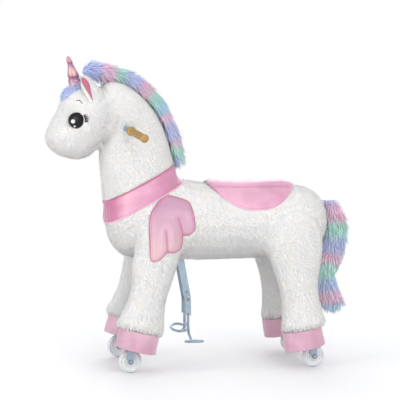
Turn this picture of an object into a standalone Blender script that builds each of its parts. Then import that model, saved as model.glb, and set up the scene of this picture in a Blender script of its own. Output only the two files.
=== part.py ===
import bpy
import bmesh
import math
from mathutils import Matrix, Vector

for item in list(bpy.data.objects):
    bpy.data.objects.remove(item, do_unlink=True)

mm = 0.001
left, right = -1, 1

# Clearances
touch = 0.3 * mm
swing_clearance = 4 * mm
overrun = 20 * mm

# Stance: the animal looks along -X and rests with its legs spread on their stops
pivot_height = 400 * mm
shoulder_forward = 130 * mm
hip_back = 240 * mm
front_lean = math.radians(14.5)
rear_lean = math.radians(10.8)
leg_swing = math.radians(8)
track = 270 * mm
thigh_spacing = 224 * mm

# Torso
chest_overhang = 145 * mm
rump_overhang = 139 * mm
torso_height = 250 * mm
torso_width = 292 * mm
torso_rise = 17 * mm
torso_shares = [
    (0.00, -0.02, 0.28, 0.30),
    (0.045, 0.00, 0.70, 0.70),
    (0.14, 0.04, 0.98, 0.94),
    (0.30, 0.04, 1.00, 1.00),
    (0.50, -0.02, 0.86, 1.00),
    (0.70, -0.01, 0.86, 1.00),
    (0.86, 0.00, 0.90, 0.96),
    (0.955, 0.00, 0.72, 0.74),
    (1.00, 0.00, 0.30, 0.32),
]

# Neck
neck_root_back = 110 * mm
neck_root_rise = 40 * mm
neck_reach = 120 * mm
neck_rise = 335 * mm
neck_depth = 236 * mm
neck_width = 236 * mm
neck_shares = [
    (0.00, 0.00, 1.00, 1.00),
    (0.08, 0.24, 0.95, 0.84),
    (0.19, 0.48, 0.90, 0.72),
    (0.32, 0.716, 0.85, 0.66),
    (0.50, 0.90, 0.66, 0.62),
    (0.80, 1.00, 0.58, 0.58),
    (1.15, 1.02, 0.46, 0.50),
]

# Head, placed from the top of the neck
head_forward = 11 * mm
head_raise = 38 * mm
head_reach = 103 * mm
head_drop = 192 * mm
head_depth = 184 * mm
head_width = 170 * mm
head_shares = [
    (0.00, 0.00, 0.46, 0.50),
    (0.10, 0.13, 0.85, 0.82),
    (0.22, 0.29, 1.00, 0.97),
    (0.44, 0.52, 0.95, 1.00),
    (0.74, 0.73, 0.90, 0.94),
    (0.98, 0.88, 0.74, 0.80),
    (1.10, 0.99, 0.44, 0.50),
]

# Ears
ear_length = 88 * mm
ear_width = 46 * mm
ear_thickness = 20 * mm
ear_lean = 30 * mm
ear_turn = math.radians(24)
ear_drop = 58 * mm
ear_forward = 12 * mm
ear_out = 68 * mm
ear_shares = [
    (0.00, 0.50, 0.90),
    (0.22, 0.86, 1.00),
    (0.50, 1.00, 1.00),
    (0.78, 0.74, 0.80),
    (1.00, 0.22, 0.30),
]

# Eyes
eye_diameter = 42 * mm
eye_depth = 20 * mm
eye_turn = math.radians(19)
eye_forward = 75 * mm
eye_drop = 95 * mm
eye_out = 75 * mm

# Horn: a turned cone with three swells
horn_length = 97 * mm
horn_radius = 15.5 * mm
horn_lean = math.radians(13)
horn_forward = 66 * mm
horn_drop = 14 * mm
horn_profile_shares = [
    (0.00, 1.00),
    (0.16, 0.98),
    (0.42, 0.88),
    (0.54, 0.78),
    (0.50, 0.74),
    (0.64, 0.70),
    (0.88, 0.58),
    (0.95, 0.48),
    (0.82, 0.41),
    (0.97, 0.36),
    (1.00, 0.26),
    (1.00, 0.10),
    (0.90, 0.00),
    (0.00, 0.00),
]

# Mane, along the crest: forward and up from the top of the neck
mane_span = 288 * mm
mane_fall = 295 * mm
mane_depth = 60 * mm
mane_width = 76 * mm
mane_shares = [
    (-0.25, 0.17, 0.55, 0.55),
    (-0.14, 0.25, 0.90, 0.85),
    (0.035, 0.265, 0.96, 0.95),
    (0.21, 0.23, 1.00, 1.00),
    (0.37, 0.145, 1.00, 1.00),
    (0.505, 0.03, 0.96, 1.00),
    (0.60, -0.11, 0.96, 1.00),
    (0.67, -0.27, 0.92, 0.96),
    (0.72, -0.42, 0.84, 0.90),
    (0.753, -0.59, 0.72, 0.80),
    (0.757, -0.70, 0.40, 0.45),
]

# Tail, from its root on the rump
tail_root_rise = 61 * mm
tail_reach = 49 * mm
tail_length = 343 * mm
tail_depth = 76 * mm
tail_width = 76 * mm
tail_shares = [
    (0.00, 0.00, 0.34, 0.34),
    (0.50, 0.04, 0.58, 0.58),
    (0.92, 0.17, 0.88, 0.88),
    (0.90, 0.32, 1.00, 1.00),
    (0.62, 0.49, 0.95, 1.00),
    (0.40, 0.67, 0.86, 0.95),
    (0.55, 0.81, 0.88, 0.95),
    (0.88, 0.92, 0.96, 0.90),
    (1.06, 1.00, 0.60, 0.56),
]

# Collar, wings and saddle
collar_width = 57 * mm
collar_thickness = 5 * mm
collar_tilt = math.radians(27.6)
collar_centre_forward = 44 * mm
collar_centre_rise = 105 * mm
collar_span = 330 * mm
wing_height = 188 * mm
wing_length = 131 * mm
wing_thickness = 12 * mm
wing_clearance = 2 * mm
wing_back = 104 * mm
wing_rise = 104 * mm
wing_inner = 90 * mm
flank_height = 380 * mm
flank_out = 22 * mm
flank_drop = 40 * mm
wing_outline_shares = [
    (0.42, 0.00),
    (0.15, 0.20),
    (0.01, 0.42),
    (0.00, 0.72),
    (0.07, 0.99),
    (0.22, 0.94),
    (0.36, 0.72),
    (0.55, 0.88),
    (0.72, 0.64),
    (0.88, 0.63),
    (1.00, 0.46),
    (0.93, 0.14),
    (0.68, 0.01),
]
saddle_front = 115 * mm
saddle_length = 310 * mm
saddle_thickness = 30 * mm
saddle_width = 272 * mm
saddle_shares = [
    (0.00, 0.10, 0.55),
    (0.10, 0.80, 0.86),
    (0.30, 0.95, 1.00),
    (0.60, 0.90, 1.00),
    (0.88, 1.00, 0.90),
    (1.00, 0.10, 0.55),
]

# Steel frame inside the torso
shaft_radius = 10 * mm
bearing_wall = 6 * mm
bearing_length = 78 * mm
beam_size = 36 * mm
beam_wall = 3 * mm
beam_tail = 30 * mm
cavity_margin = 1.5 * mm
shaft_hole_clearance = 2.5 * mm

# Steering
steering_forward = 95 * mm
handlebar_rise_share = 0.7463
stem_radius = 9 * mm
sleeve_wall = 5 * mm
sleeve_base_rise = 14 * mm
sleeve_top_drop = 108 * mm
stem_foot = 12 * mm
bar_radius = 8 * mm
bar_half_span = 196 * mm
bar_run_spare = 12 * mm
bar_sweep = 38 * mm
bar_droop = 26 * mm
steering_angle = math.radians(12)
slot_margin = 6 * mm
grip_length = 92 * mm
grip_radius = 11.5 * mm
grip_profile_shares = [
    (0.00, 1.00),
    (0.62, 0.995),
    (0.98, 0.965),
    (1.10, 0.92),
    (1.00, 0.86),
    (0.92, 0.80),
    (0.96, 0.45),
    (0.92, 0.12),
    (1.18, 0.06),
    (1.18, 0.00),
    (0.00, 0.00),
]
grip_bore_share = 0.88

# Legs, measured along the leg's axis, forward and back of it
front_ankle = 90 * mm
rear_ankle = 84.5 * mm
cuff_height = 56 * mm
front_leg_depth = 132 * mm
rear_leg_depth = 150 * mm
leg_width = 104 * mm
thigh_top = 66 * mm
front_leg_shares = [
    (0.02, 0.30, -0.32, 0.00, 0.62),
    (0.20, 0.50, -0.56, 0.00, 0.96),
    (0.40, 0.44, -0.54, 0.12, 0.98),
    (0.61, 0.38, -0.485, 0.40, 0.95),
    (0.75, 0.355, -0.445, 0.62, 0.94),
    (0.88, 0.43, -0.53, 0.82, 1.02),
    (0.985, 0.48, -0.55, 0.95, 1.08),
    (1.08, 0.46, -0.52, 1.00, 1.00),
]
rear_leg_shares = [
    (0.02, 0.32, -0.36, 0.00, 0.62),
    (0.19, 0.53, -0.66, 0.00, 0.96),
    (0.36, 0.52, -0.66, 0.10, 0.98),
    (0.50, 0.46, -0.50, 0.26, 0.96),
    (0.68, 0.40, -0.345, 0.50, 0.94),
    (0.84, 0.45, -0.33, 0.76, 0.97),
    (0.97, 0.515, -0.36, 0.95, 1.08),
    (1.08, 0.50, -0.345, 1.00, 1.00),
]
leg_tube_radius = 12.5 * mm
leg_tube_top = 18 * mm

# Hoof cuffs
hoof_length = 120 * mm
hoof_width = 104 * mm
hoof_flare = 2 * mm
hoof_wall = 5 * mm
hoof_recess = 27 * mm
front_hoof_forward = -6 * mm
rear_hoof_forward = 19 * mm

# Wheels, forks and axles
wheel_diameter = 66 * mm
wheel_width = 24 * mm
tyre_shoulder = 6 * mm
tyre_steps = 24
hub_diameter = 42 * mm
hub_width = 18 * mm
hub_hole_radius = 3.4 * mm
hub_hole_circle = 12.5 * mm
hub_hole_count = 6
axle_radius = 4 * mm
axle_head_radius = 6.5 * mm
axle_head = 3.5 * mm
wheel_side_clearance = 2.5 * mm
wheel_top_clearance = 3 * mm
fork_plate = 3 * mm
fork_crown = 6 * mm
fork_top_width = 22 * mm
fork_tip_radius = 8 * mm
kingpin_radius = 6 * mm
kingpin_length = 34 * mm

# Pedal linkage under the belly
lever_back = 70 * mm
lever_pivot_drop = 42 * mm
lever_run = 30 * mm
lever_fall = 167 * mm
lever_width = 20 * mm
lever_plate = 5 * mm
lever_spacing = 52 * mm
bracket_wall = 4 * mm
bracket_width = 30 * mm
pin_radius = 4 * mm
pin_head_radius = 7 * mm
pin_head = 3 * mm
hanger_height = 56 * mm
hanger_width = 18 * mm
hanger_plate = 4 * mm
rod_radius = 4 * mm
rod_fall = 46 * mm
ring_half_length = 40 * mm
ring_half_width = 23.5 * mm
ring_out = 132 * mm
ring_drop = 14 * mm
ring_roll = math.radians(8)
cross_bar_drop = 30 * mm

# Worked out
shoulder = Vector((-shoulder_forward, 0, pivot_height))
hip = Vector((hip_back, 0, pivot_height))
wheel_radius = wheel_diameter / 2
wheel_y = track / 2
front_leg_length = (pivot_height - wheel_radius) / math.cos(front_lean)
rear_leg_length = (pivot_height - wheel_radius) / math.cos(rear_lean)
front_cuff_drop = front_leg_length - front_ankle
rear_cuff_drop = rear_leg_length - rear_ankle
handlebar_height = pivot_height + neck_root_rise + handlebar_rise_share * neck_rise
bar_bend = bar_half_span - grip_length - bar_run_spare
flank_width = torso_width + 2 * flank_out
thigh_y = thigh_spacing / 2
neck_top = Vector((-shoulder_forward - chest_overhang + neck_root_back - neck_reach, 0,
                   pivot_height + neck_root_rise + neck_rise))
skull = neck_top + Vector((-head_forward, 0, head_raise))
beam_centre_z = pivot_height + shaft_radius + touch + bearing_wall + touch + beam_size / 2
steering_x = -shoulder_forward - steering_forward
sleeve_radius = stem_radius + touch + sleeve_wall
lever_pivot = Vector((-lever_back, 0, pivot_height - lever_pivot_drop))
lever_end = lever_pivot + Vector((lever_run, 0, -lever_fall))

part = bpy.data.collections.new("plush_ride_on_unicorn")
tools = bpy.data.collections.new("cutters")
bpy.context.scene.collection.children.link(part)
bpy.context.scene.collection.children.link(tools)


def material(name, colour, roughness, metallic=0.0):
    made = bpy.data.materials.new(name)
    made.use_nodes = True
    shader = made.node_tree.nodes["Principled BSDF"]
    shader.inputs["Base Color"].default_value = (*colour, 1)
    shader.inputs["Roughness"].default_value = roughness
    shader.inputs["Metallic"].default_value = metallic
    return made


white_plush = material("white_plush", (0.90, 0.89, 0.87), 0.95)
pink_satin = material("pink_satin", (0.80, 0.40, 0.58), 0.35)
horn_foil = material("horn_foil", (0.82, 0.48, 0.58), 0.25, 0.6)
eye_black = material("eye_black", (0.02, 0.02, 0.02), 0.12)
long_fur = material("long_fur", (0.55, 0.65, 0.85), 0.9)
steel = material("steel", (0.62, 0.68, 0.74), 0.3, 1.0)
dark_steel = material("dark_steel", (0.25, 0.26, 0.28), 0.35, 1.0)
milky_plastic = material("milky_plastic", (0.82, 0.84, 0.86), 0.25)
grip_foam = material("grip_foam", (0.62, 0.42, 0.20), 0.5)


def place(made, name, mat, parent=None, location=(0, 0, 0), rotation=(0, 0, 0)):
    made.name = name
    made.data.name = name
    for home in list(made.users_collection):
        home.objects.unlink(made)
    if mat is None:
        tools.objects.link(made)
        made.hide_render = True
        made.display_type = "WIRE"
    else:
        part.objects.link(made)
        made.data.materials.append(mat)
    made.parent = parent
    made.location = location
    made.rotation_euler = rotation
    return made


def empty(name, location, rotation=(0, 0, 0), parent=None):
    made = bpy.data.objects.new(name, None)
    part.objects.link(made)
    made.empty_display_size = overrun
    made.parent = parent
    made.location = location
    made.rotation_euler = rotation
    return made


def from_bmesh(bm, name):
    bmesh.ops.recalc_face_normals(bm, faces=bm.faces)
    mesh = bpy.data.meshes.new(name)
    bm.to_mesh(mesh)
    bm.free()
    return bpy.data.objects.new(name, mesh)


def smooth(made, angle=math.radians(40)):
    made.data.shade_smooth()
    made.data.set_sharp_from_angle(angle=angle)
    return made


def box(name, mat, size, centre, parent=None, rotation=(0, 0, 0)):
    bm = bmesh.new()
    bmesh.ops.create_cube(bm, size=1)
    bmesh.ops.scale(bm, vec=size, verts=bm.verts)
    return place(from_bmesh(bm, name), name, mat, parent, centre, rotation)


def cylinder(name, mat, radius, length, centre, parent=None, rotation=(0, 0, 0), segments=16):
    bm = bmesh.new()
    bmesh.ops.create_cone(bm, cap_ends=True, segments=segments, radius1=radius, radius2=radius,
                          depth=length)
    made = place(from_bmesh(bm, name), name, mat, parent, centre, rotation)
    return smooth(made)


along_y = (math.pi / 2, 0, 0)


def turned(name, mat, profile, steps, parent=None, location=(0, 0, 0), rotation=(0, 0, 0),
           ring=False):
    """A profile of (radius, height) from top to bottom, turned about Z; a ring's is closed."""
    mesh = bpy.data.meshes.new(name)
    points = [(radius, 0, height) for radius, height in profile]
    edges = [(i, i + 1) for i in range(len(points) - 1)]
    if ring:
        edges.append((len(points) - 1, 0))
    mesh.from_pydata(points, edges, [])
    made = place(bpy.data.objects.new(name, mesh), name, mat, parent, location, rotation)
    screw = made.modifiers.new("turn", "SCREW")
    screw.steps = steps
    screw.render_steps = steps
    screw.use_merge_vertices = True
    screw.merge_threshold = touch / 30
    screw.use_smooth_shade = True
    return made


def cut(made, tool, operation="DIFFERENCE"):
    boolean = made.modifiers.new(tool.name, "BOOLEAN")
    boolean.operation = operation
    boolean.solver = "EXACT"
    boolean.object = tool
    return made


def soft(name, mat, rings, grow=0.0, sides=8, levels=1, parent=None, location=(0, 0, 0),
         rotation=(0, 0, 0)):
    """A stuffed form: a cage of rings (centre, half depth, half width), subdivided."""
    gain = 3 / (2 + math.cos(math.tau / sides))
    bm = bmesh.new()
    loops = []
    last = len(rings) - 1
    for index, (centre, half_depth, half_width) in enumerate(rings):
        ahead = rings[min(index + 1, last)][0]
        behind = rings[max(index - 1, 0)][0]
        along = (ahead - behind).normalized()
        across = Vector((0, 1, 0)).cross(along).normalized()
        if index == 0:
            centre = centre - along * grow
        if index == last:
            centre = centre + along * grow
        loop = []
        for k in range(sides):
            turn = math.tau * (k + 0.5) / sides
            depth = across * ((half_depth + grow) * gain * math.cos(turn))
            width = Vector((0, (half_width + grow) * gain * math.sin(turn), 0))
            loop.append(bm.verts.new(centre + depth + width))
        loops.append(loop)
    for first, second in zip(loops, loops[1:]):
        for k in range(sides):
            n = (k + 1) % sides
            bm.faces.new((first[k], first[n], second[n], second[k]))
    bm.faces.new(loops[0])
    bm.faces.new(loops[-1])
    made = place(from_bmesh(bm, name), name, mat, parent, location, rotation)
    made.data.shade_smooth()
    subdivision = made.modifiers.new("stuffing", "SUBSURF")
    subdivision.levels = levels
    subdivision.render_levels = levels
    halves = made.modifiers.new("halves", "TRIANGULATE")
    halves.quad_method = "FIXED"
    return made


def tube(name, mat, points, radius, parent=None, cyclic=False, location=(0, 0, 0),
         rotation=(0, 0, 0)):
    """A bent bar as a mesh with closed ends."""
    curve = bpy.data.curves.new(name, "CURVE")
    curve.dimensions = "3D"
    curve.bevel_depth = radius
    curve.bevel_resolution = 2
    curve.use_fill_caps = not cyclic
    spline = curve.splines.new("POLY")
    spline.points.add(len(points) - 1)
    for target, point in zip(spline.points, points):
        target.co = (*point, 1)
    spline.use_cyclic_u = cyclic
    guide = bpy.data.objects.new(name + "_guide", curve)
    tools.objects.link(guide)
    bpy.context.view_layer.update()
    evaluated = guide.evaluated_get(bpy.context.evaluated_depsgraph_get())
    mesh = bpy.data.meshes.new_from_object(evaluated)
    bpy.data.objects.remove(guide, do_unlink=True)
    bm = bmesh.new()
    bm.from_mesh(mesh)
    bmesh.ops.remove_doubles(bm, verts=bm.verts, dist=touch / 30)
    bmesh.ops.recalc_face_normals(bm, faces=bm.faces)
    bm.to_mesh(mesh)
    bm.free()
    mesh.materials.clear()
    made = place(bpy.data.objects.new(name, mesh), name, mat, parent, location, rotation)
    return smooth(made)


def outline(name, mat, points, depth, parent=None, location=(0, 0, 0), rotation=(0, 0, 0),
            rounded=False):
    """A flat outline of (x, z) points, made a prism of the given depth across Y."""
    curve = bpy.data.curves.new(name, "CURVE")
    curve.dimensions = "2D"
    curve.fill_mode = "BOTH"
    curve.extrude = depth / 2
    curve.resolution_u = 3
    spline = curve.splines.new("BEZIER")
    spline.bezier_points.add(len(points) - 1)
    for target, (x, z) in zip(spline.bezier_points, points):
        target.co = (x, z, 0)
        target.handle_left_type = "AUTO" if rounded else "VECTOR"
        target.handle_right_type = "AUTO" if rounded else "VECTOR"
    spline.use_cyclic_u = True
    guide = bpy.data.objects.new(name + "_guide", curve)
    tools.objects.link(guide)
    bpy.context.view_layer.update()
    evaluated = guide.evaluated_get(bpy.context.evaluated_depsgraph_get())
    mesh = bpy.data.meshes.new_from_object(evaluated)
    bpy.data.objects.remove(guide, do_unlink=True)
    mesh.transform(Matrix.Rotation(math.pi / 2, 4, "X"))
    bm = bmesh.new()
    bm.from_mesh(mesh)
    bmesh.ops.remove_doubles(bm, verts=bm.verts, dist=touch / 30)
    bmesh.ops.recalc_face_normals(bm, faces=bm.faces)
    bm.to_mesh(mesh)
    bm.free()
    mesh.materials.clear()
    return place(bpy.data.objects.new(name, mesh), name, mat, parent, location, rotation)


def side_name(side):
    return "left" if side == left else "right"


# The joints' empties
front_legs = empty("front_leg_swing", shoulder, (0, front_lean, 0))
rear_legs = empty("rear_leg_swing", hip, (0, -rear_lean, 0))
steering = empty("steering_turn", (steering_x, 0, handlebar_height))
levers = empty("pedal_lever_swing", lever_pivot)
hanger = empty("pedal_hanger_level", lever_end - lever_pivot, parent=levers)
front_wheels = {
    side: empty("front_fork_turn_" + side_name(side), (0, side * wheel_y, -front_leg_length),
                (0, -front_lean, 0), front_legs)
    for side in (left, right)
}
rear_wheels = {
    side: empty("rear_wheel_roll_" + side_name(side), (0, side * wheel_y, -rear_leg_length),
                (0, 0, 0), rear_legs)
    for side in (left, right)
}


def torso_rings():
    length = shoulder_forward + chest_overhang + hip_back + rump_overhang
    start = -shoulder_forward - chest_overhang
    return [
        (Vector((start + along * length, 0, pivot_height + torso_rise + rise * torso_height)),
         height * torso_height / 2, width * torso_width / 2)
        for along, rise, height, width in torso_shares
    ]


def torso_form(name, mat, grow=0.0):
    return soft(name, mat, torso_rings(), grow, sides=10)


def neck_form(name, mat, grow=0.0):
    root = Vector((-shoulder_forward - chest_overhang + neck_root_back, 0,
                   pivot_height + neck_root_rise))
    rings = [
        (root + Vector((-reach * neck_reach, 0, rise * neck_rise)),
         depth * neck_depth / 2, width * neck_width / 2)
        for reach, rise, depth, width in neck_shares
    ]
    return soft(name, mat, rings, grow, sides=10)


def head_form(name, mat, grow=0.0):
    rings = [
        (skull + Vector((-reach * head_reach, 0, -drop * head_drop)),
         depth * head_depth / 2, width * head_width / 2)
        for reach, drop, depth, width in head_shares
    ]
    return soft(name, mat, rings, grow, sides=10)


def leg_form(name, mat, end, side, grow=0.0, swept=False):
    """One leg in its swinging frame, from above the pivot down past the cuff's top.

    A swept leg is widened towards the side that it closes to.
    """
    table_shares, leg_depth, parent, swing, cuff_drop = leg_tables[end][:5]
    length = thigh_top + cuff_drop
    rings = []
    for down, front, back, out, width in table_shares:
        height = thigh_top - down * length
        centre_x = -(front + back) / 2 * leg_depth
        half_depth = (front - back) / 2 * leg_depth
        if swept:
            centre_x += height * math.tan(swing) / 2
            half_depth += abs(height * math.tan(swing)) / 2
        centre_y = side * (thigh_y + out * (wheel_y - thigh_y))
        rings.append((Vector((centre_x, centre_y, height)), half_depth, width * leg_width / 2))
    return soft(name, mat, rings, grow, sides=6, parent=parent)


leg_tables = {
    "front": (front_leg_shares, front_leg_depth, front_legs, -leg_swing, front_cuff_drop,
              front_ankle, front_hoof_forward, front_wheels),
    "rear": (rear_leg_shares, rear_leg_depth, rear_legs, leg_swing, rear_cuff_drop,
             rear_ankle, rear_hoof_forward, rear_wheels),
}


def make_torso():
    torso = torso_form("torso_plush", white_plush)
    for end in leg_tables:
        for side in (left, right):
            cut(torso, leg_form(f"{end}_leg_room", None, end, side, swing_clearance, True))
    front_x = steering_x - sleeve_radius - cavity_margin
    back_x = hip_back + beam_tail + cavity_margin
    top_z = beam_centre_z + beam_size / 2 + touch
    low_z = pivot_height - shaft_radius - bearing_wall - 2 * cavity_margin
    cavity = box("torso_cavity", None,
                 (back_x - front_x, bearing_length + 2 * cavity_margin, top_z - low_z),
                 ((back_x + front_x) / 2, 0, (top_z + low_z) / 2))
    cut(torso, cavity)
    for pivot in (shoulder, hip):
        hole = cylinder("shaft_hole", None, shaft_radius + shaft_hole_clearance, track,
                        pivot, rotation=along_y)
        cut(torso, hole)
    slot_low = pivot_height - torso_height
    slot_length = lever_run + 2 * lever_width
    slot = box("lever_slot", None,
               (slot_length, bearing_length + 2 * cavity_margin, top_z - slot_low),
               (lever_pivot.x + lever_run / 2, 0, (top_z + slot_low) / 2))
    cut(torso, slot)
    cut(torso, sleeve_channel("torso_sleeve_channel"))
    return torso


def sleeve_channel(name):
    low = pivot_height
    high = handlebar_height
    return cylinder(name, None, sleeve_radius + touch, high - low,
                    (steering_x, 0, (high + low) / 2))


def make_neck():
    neck = neck_form("neck_plush", white_plush)
    cut(neck, torso_form("torso_gap", None, touch))
    cut(neck, sleeve_channel("neck_sleeve_channel"))
    slot_x = 2 * (neck_width / 2 * math.sin(steering_angle) + bar_radius + slot_margin)
    slot = box("bar_slot", None, (slot_x, track, 2 * (bar_radius + slot_margin)),
               (steering_x, 0, handlebar_height))
    cut(neck, slot)


def make_head():
    head = head_form("head_plush", white_plush)
    cut(head, neck_form("neck_gap", None, touch))
    for side in (left, right):
        rings = []
        for along, width, thickness in ear_shares:
            rings.append((Vector((-along * ear_lean, 0, along * ear_length)),
                          width * ear_width / 2, thickness * ear_thickness / 2))
        ear = soft("ear_" + side_name(side), white_plush, rings, sides=6,
                   location=skull + Vector((-ear_forward, side * ear_out, -ear_drop)),
                   rotation=(0, 0, -side * ear_turn))
        cut(ear, head_form("head_gap", None, touch))
        bm = bmesh.new()
        bmesh.ops.create_uvsphere(bm, u_segments=16, v_segments=8, radius=1)
        bmesh.ops.scale(bm, verts=bm.verts,
                        vec=(eye_diameter / 2, eye_depth / 2, eye_diameter / 2))
        name = "eye_" + side_name(side)
        eye = place(from_bmesh(bm, name), name, eye_black, None,
                    skull + Vector((-eye_forward, side * eye_out, -eye_drop)),
                    (0, 0, -side * eye_turn))
        eye.data.shade_smooth()
        cut(eye, head_form("head_gap", None, touch))


def make_horn():
    profile = [(radius * horn_radius, height * horn_length)
               for radius, height in horn_profile_shares]
    horn = turned("horn", horn_foil, profile, 12,
                  location=skull + Vector((-horn_forward, 0, -horn_drop)),
                  rotation=(0, -horn_lean, 0))
    cut(horn, head_form("head_gap", None, touch))


def make_mane():
    rings = []
    for back, rise, depth, width in mane_shares:
        rings.append((neck_top + Vector((back * mane_span, 0, rise * mane_fall)),
                      depth * mane_depth / 2, width * mane_width / 2))
    mane = soft("mane", long_fur, rings, sides=6)
    cut(mane, neck_form("neck_gap", None, touch))
    cut(mane, head_form("head_gap", None, touch))
    cut(mane, collar_band("mane_collar_room", None, touch))
    horn_room = cylinder("horn_room", None, horn_radius + swing_clearance, 2 * horn_length,
                         skull + Vector((-horn_forward, 0, -horn_drop)),
                         rotation=(0, -horn_lean, 0))
    cut(mane, horn_room)
    for side in (left, right):
        room = box("ear_room", None, (ear_width * 2, ear_width, 2 * ear_length),
                   skull + Vector((-ear_forward, side * (ear_out + touch), 0)))
        cut(mane, room)


def make_tail():
    root = Vector((hip_back + rump_overhang - overrun / 2, 0, pivot_height + tail_root_rise + torso_rise))
    rings = []
    for reach, drop, depth, width in tail_shares:
        rings.append((root + Vector((reach * tail_reach, 0, -drop * tail_length)),
                      depth * tail_depth / 2, width * tail_width / 2))
    tail = soft("tail", long_fur, rings, sides=6)
    cut(tail, torso_form("torso_gap", None, touch))


def collar_band(name, mat=None, grow=0.0):
    centre = Vector((-shoulder_forward - collar_centre_forward, 0,
                     pivot_height + collar_centre_rise))
    return box(name, mat,
               (collar_span, torso_width + overrun, collar_width + 2 * grow), centre,
               rotation=(0, -collar_tilt, 0))


def flank_form(grow):
    """The smooth side that a wing lies on, from the chest to behind the front leg."""
    centre = Vector((-wing_back, 0, pivot_height - flank_drop))
    rings = [(centre + Vector((share * wing_length, 0, 0)), flank_height / 2, flank_width / 2)
             for share in (-1.5, -0.5, 0.5, 1.5)]
    return soft("flank", None, rings, grow, sides=10)


def make_collar():
    collar = collar_band("chest_collar", pink_satin)
    for operation, lift in (("INTERSECT", collar_thickness), ("DIFFERENCE", 0)):
        skin = neck_form("collar_skin", None, touch + lift)
        cut(skin, torso_form("collar_torso_skin", None, touch + lift), "UNION")
        cut(collar, skin, operation)


def make_wing(side):
    centre_x = -wing_back
    top_z = pivot_height + wing_rise
    points = [(centre_x + (across - 0.5) * wing_length, top_z - down * wing_height)
              for across, down in wing_outline_shares]
    depth = flank_width / 2 + wing_thickness + overrun - wing_inner
    wing = outline("wing_" + side_name(side), pink_satin, points, depth,
                   location=(0, side * (wing_inner + depth / 2), 0), rounded=True)
    for operation, lift in (("INTERSECT", wing_thickness), ("DIFFERENCE", 0)):
        skin = torso_form("wing_skin", None, touch + lift)
        leg = leg_form("wing_leg_skin", None, "front", side, wing_clearance + lift, True)
        cut(skin, leg, "UNION")
        cut(skin, flank_form(lift), "UNION")
        cut(wing, skin, operation)
    cut(wing, collar_band("wing_collar_room", None, touch))


def make_saddle():
    rings = []
    for along, rise, width in saddle_shares:
        x = -shoulder_forward + saddle_front + along * saddle_length
        middle = pivot_height + torso_rise + saddle_thickness
        back = pivot_height + torso_rise + torso_height * 0.86 / 2
        top = back - saddle_thickness + 2 * rise * saddle_thickness
        rings.append((Vector((x, 0, middle)), top - middle, width * saddle_width / 2))
    saddle = soft("saddle", pink_satin, rings, sides=8)
    cut(saddle, torso_form("torso_gap", None, touch))


def make_frame():
    start = steering_x
    end = hip_back + beam_tail
    beam = box("spine_beam", steel, (end - start, beam_size, beam_size),
               ((end + start) / 2, 0, beam_centre_z))
    bore = box("beam_bore", None,
               (end - start + overrun, beam_size - 2 * beam_wall, beam_size - 2 * beam_wall),
               ((end + start) / 2, 0, beam_centre_z))
    cut(beam, bore)
    cut(beam, sleeve_channel("beam_sleeve_cut"))
    for name, pivot in (("shoulder_bearing", shoulder), ("hip_bearing", hip)):
        inner = shaft_radius + touch
        outer = inner + bearing_wall
        half = bearing_length / 2
        turned(name, steel,
               [(inner, half), (outer, half), (outer, -half), (inner, -half)],
               20, location=pivot, rotation=along_y, ring=True)
    base = pivot_height + sleeve_base_rise
    sleeve_length = handlebar_height - sleeve_top_drop - base
    inner = stem_radius + touch
    turned("steering_sleeve", steel,
           [(inner, sleeve_length), (sleeve_radius, sleeve_length), (sleeve_radius, 0), (inner, 0)],
           20, location=(steering_x, 0, base), ring=True)
    lug_outer = lever_spacing / 2 - lever_plate / 2 - touch
    bracket_top = beam_centre_z - beam_size / 2 - touch
    bracket_low = lever_pivot.z - bracket_width / 2
    bracket = box("pedal_bracket", steel,
                  (bracket_width, 2 * lug_outer, bracket_top - bracket_low),
                  (lever_pivot.x, 0, (bracket_top + bracket_low) / 2))
    gap_box = box("bracket_gap", None,
                  (bracket_width + overrun, 2 * (lug_outer - bracket_wall),
                   bracket_top - bracket_wall - bracket_low + overrun),
                  (lever_pivot.x, 0, (bracket_top - bracket_wall + bracket_low - overrun) / 2))
    cut(bracket, gap_box)
    cut(bracket, cylinder("bracket_hole", None, pin_radius + touch, lever_spacing, lever_pivot,
                          rotation=along_y))


def bar_points(half_span):
    reach = half_span - bar_bend
    points = []
    full = bar_half_span - bar_bend
    for side in (right, left):
        arm = []
        for share in (1, 0.4, 0.12):
            arm.append((share * bar_sweep * reach / full, side * (bar_bend + share * reach),
                        -share * bar_droop * reach / full))
        arm.append((0, side * bar_bend * 0.9, 0))
        points.extend(arm if side == right else arm[::-1])
    return points


def make_steering():
    foot = pivot_height + sleeve_base_rise - stem_foot
    top = handlebar_height - bar_radius - touch
    cylinder("steering_stem", steel, stem_radius, top - foot,
             (0, 0, (top + foot) / 2 - handlebar_height), steering)
    inset = grip_length * (1 - grip_bore_share) + touch
    tube("handlebar", steel, bar_points(bar_half_span - inset), bar_radius, steering)
    for side in (left, right):
        along = Vector((bar_sweep, side * (bar_half_span - bar_bend), -bar_droop)).normalized()
        end = Vector((bar_sweep, side * bar_half_span, -bar_droop))
        start = end - along * grip_length
        turn = Vector((0, 0, 1)).rotation_difference(along).to_euler()
        profile = [(radius * grip_radius, height * grip_length)
                   for radius, height in grip_profile_shares]
        grip = turned("grip_" + side_name(side), grip_foam, profile, 12, steering, start, turn)
        bore = cylinder("grip_bore", None, bar_radius + touch, 2 * grip_bore_share * grip_length,
                        start, steering, turn)
        cut(grip, bore)


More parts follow.
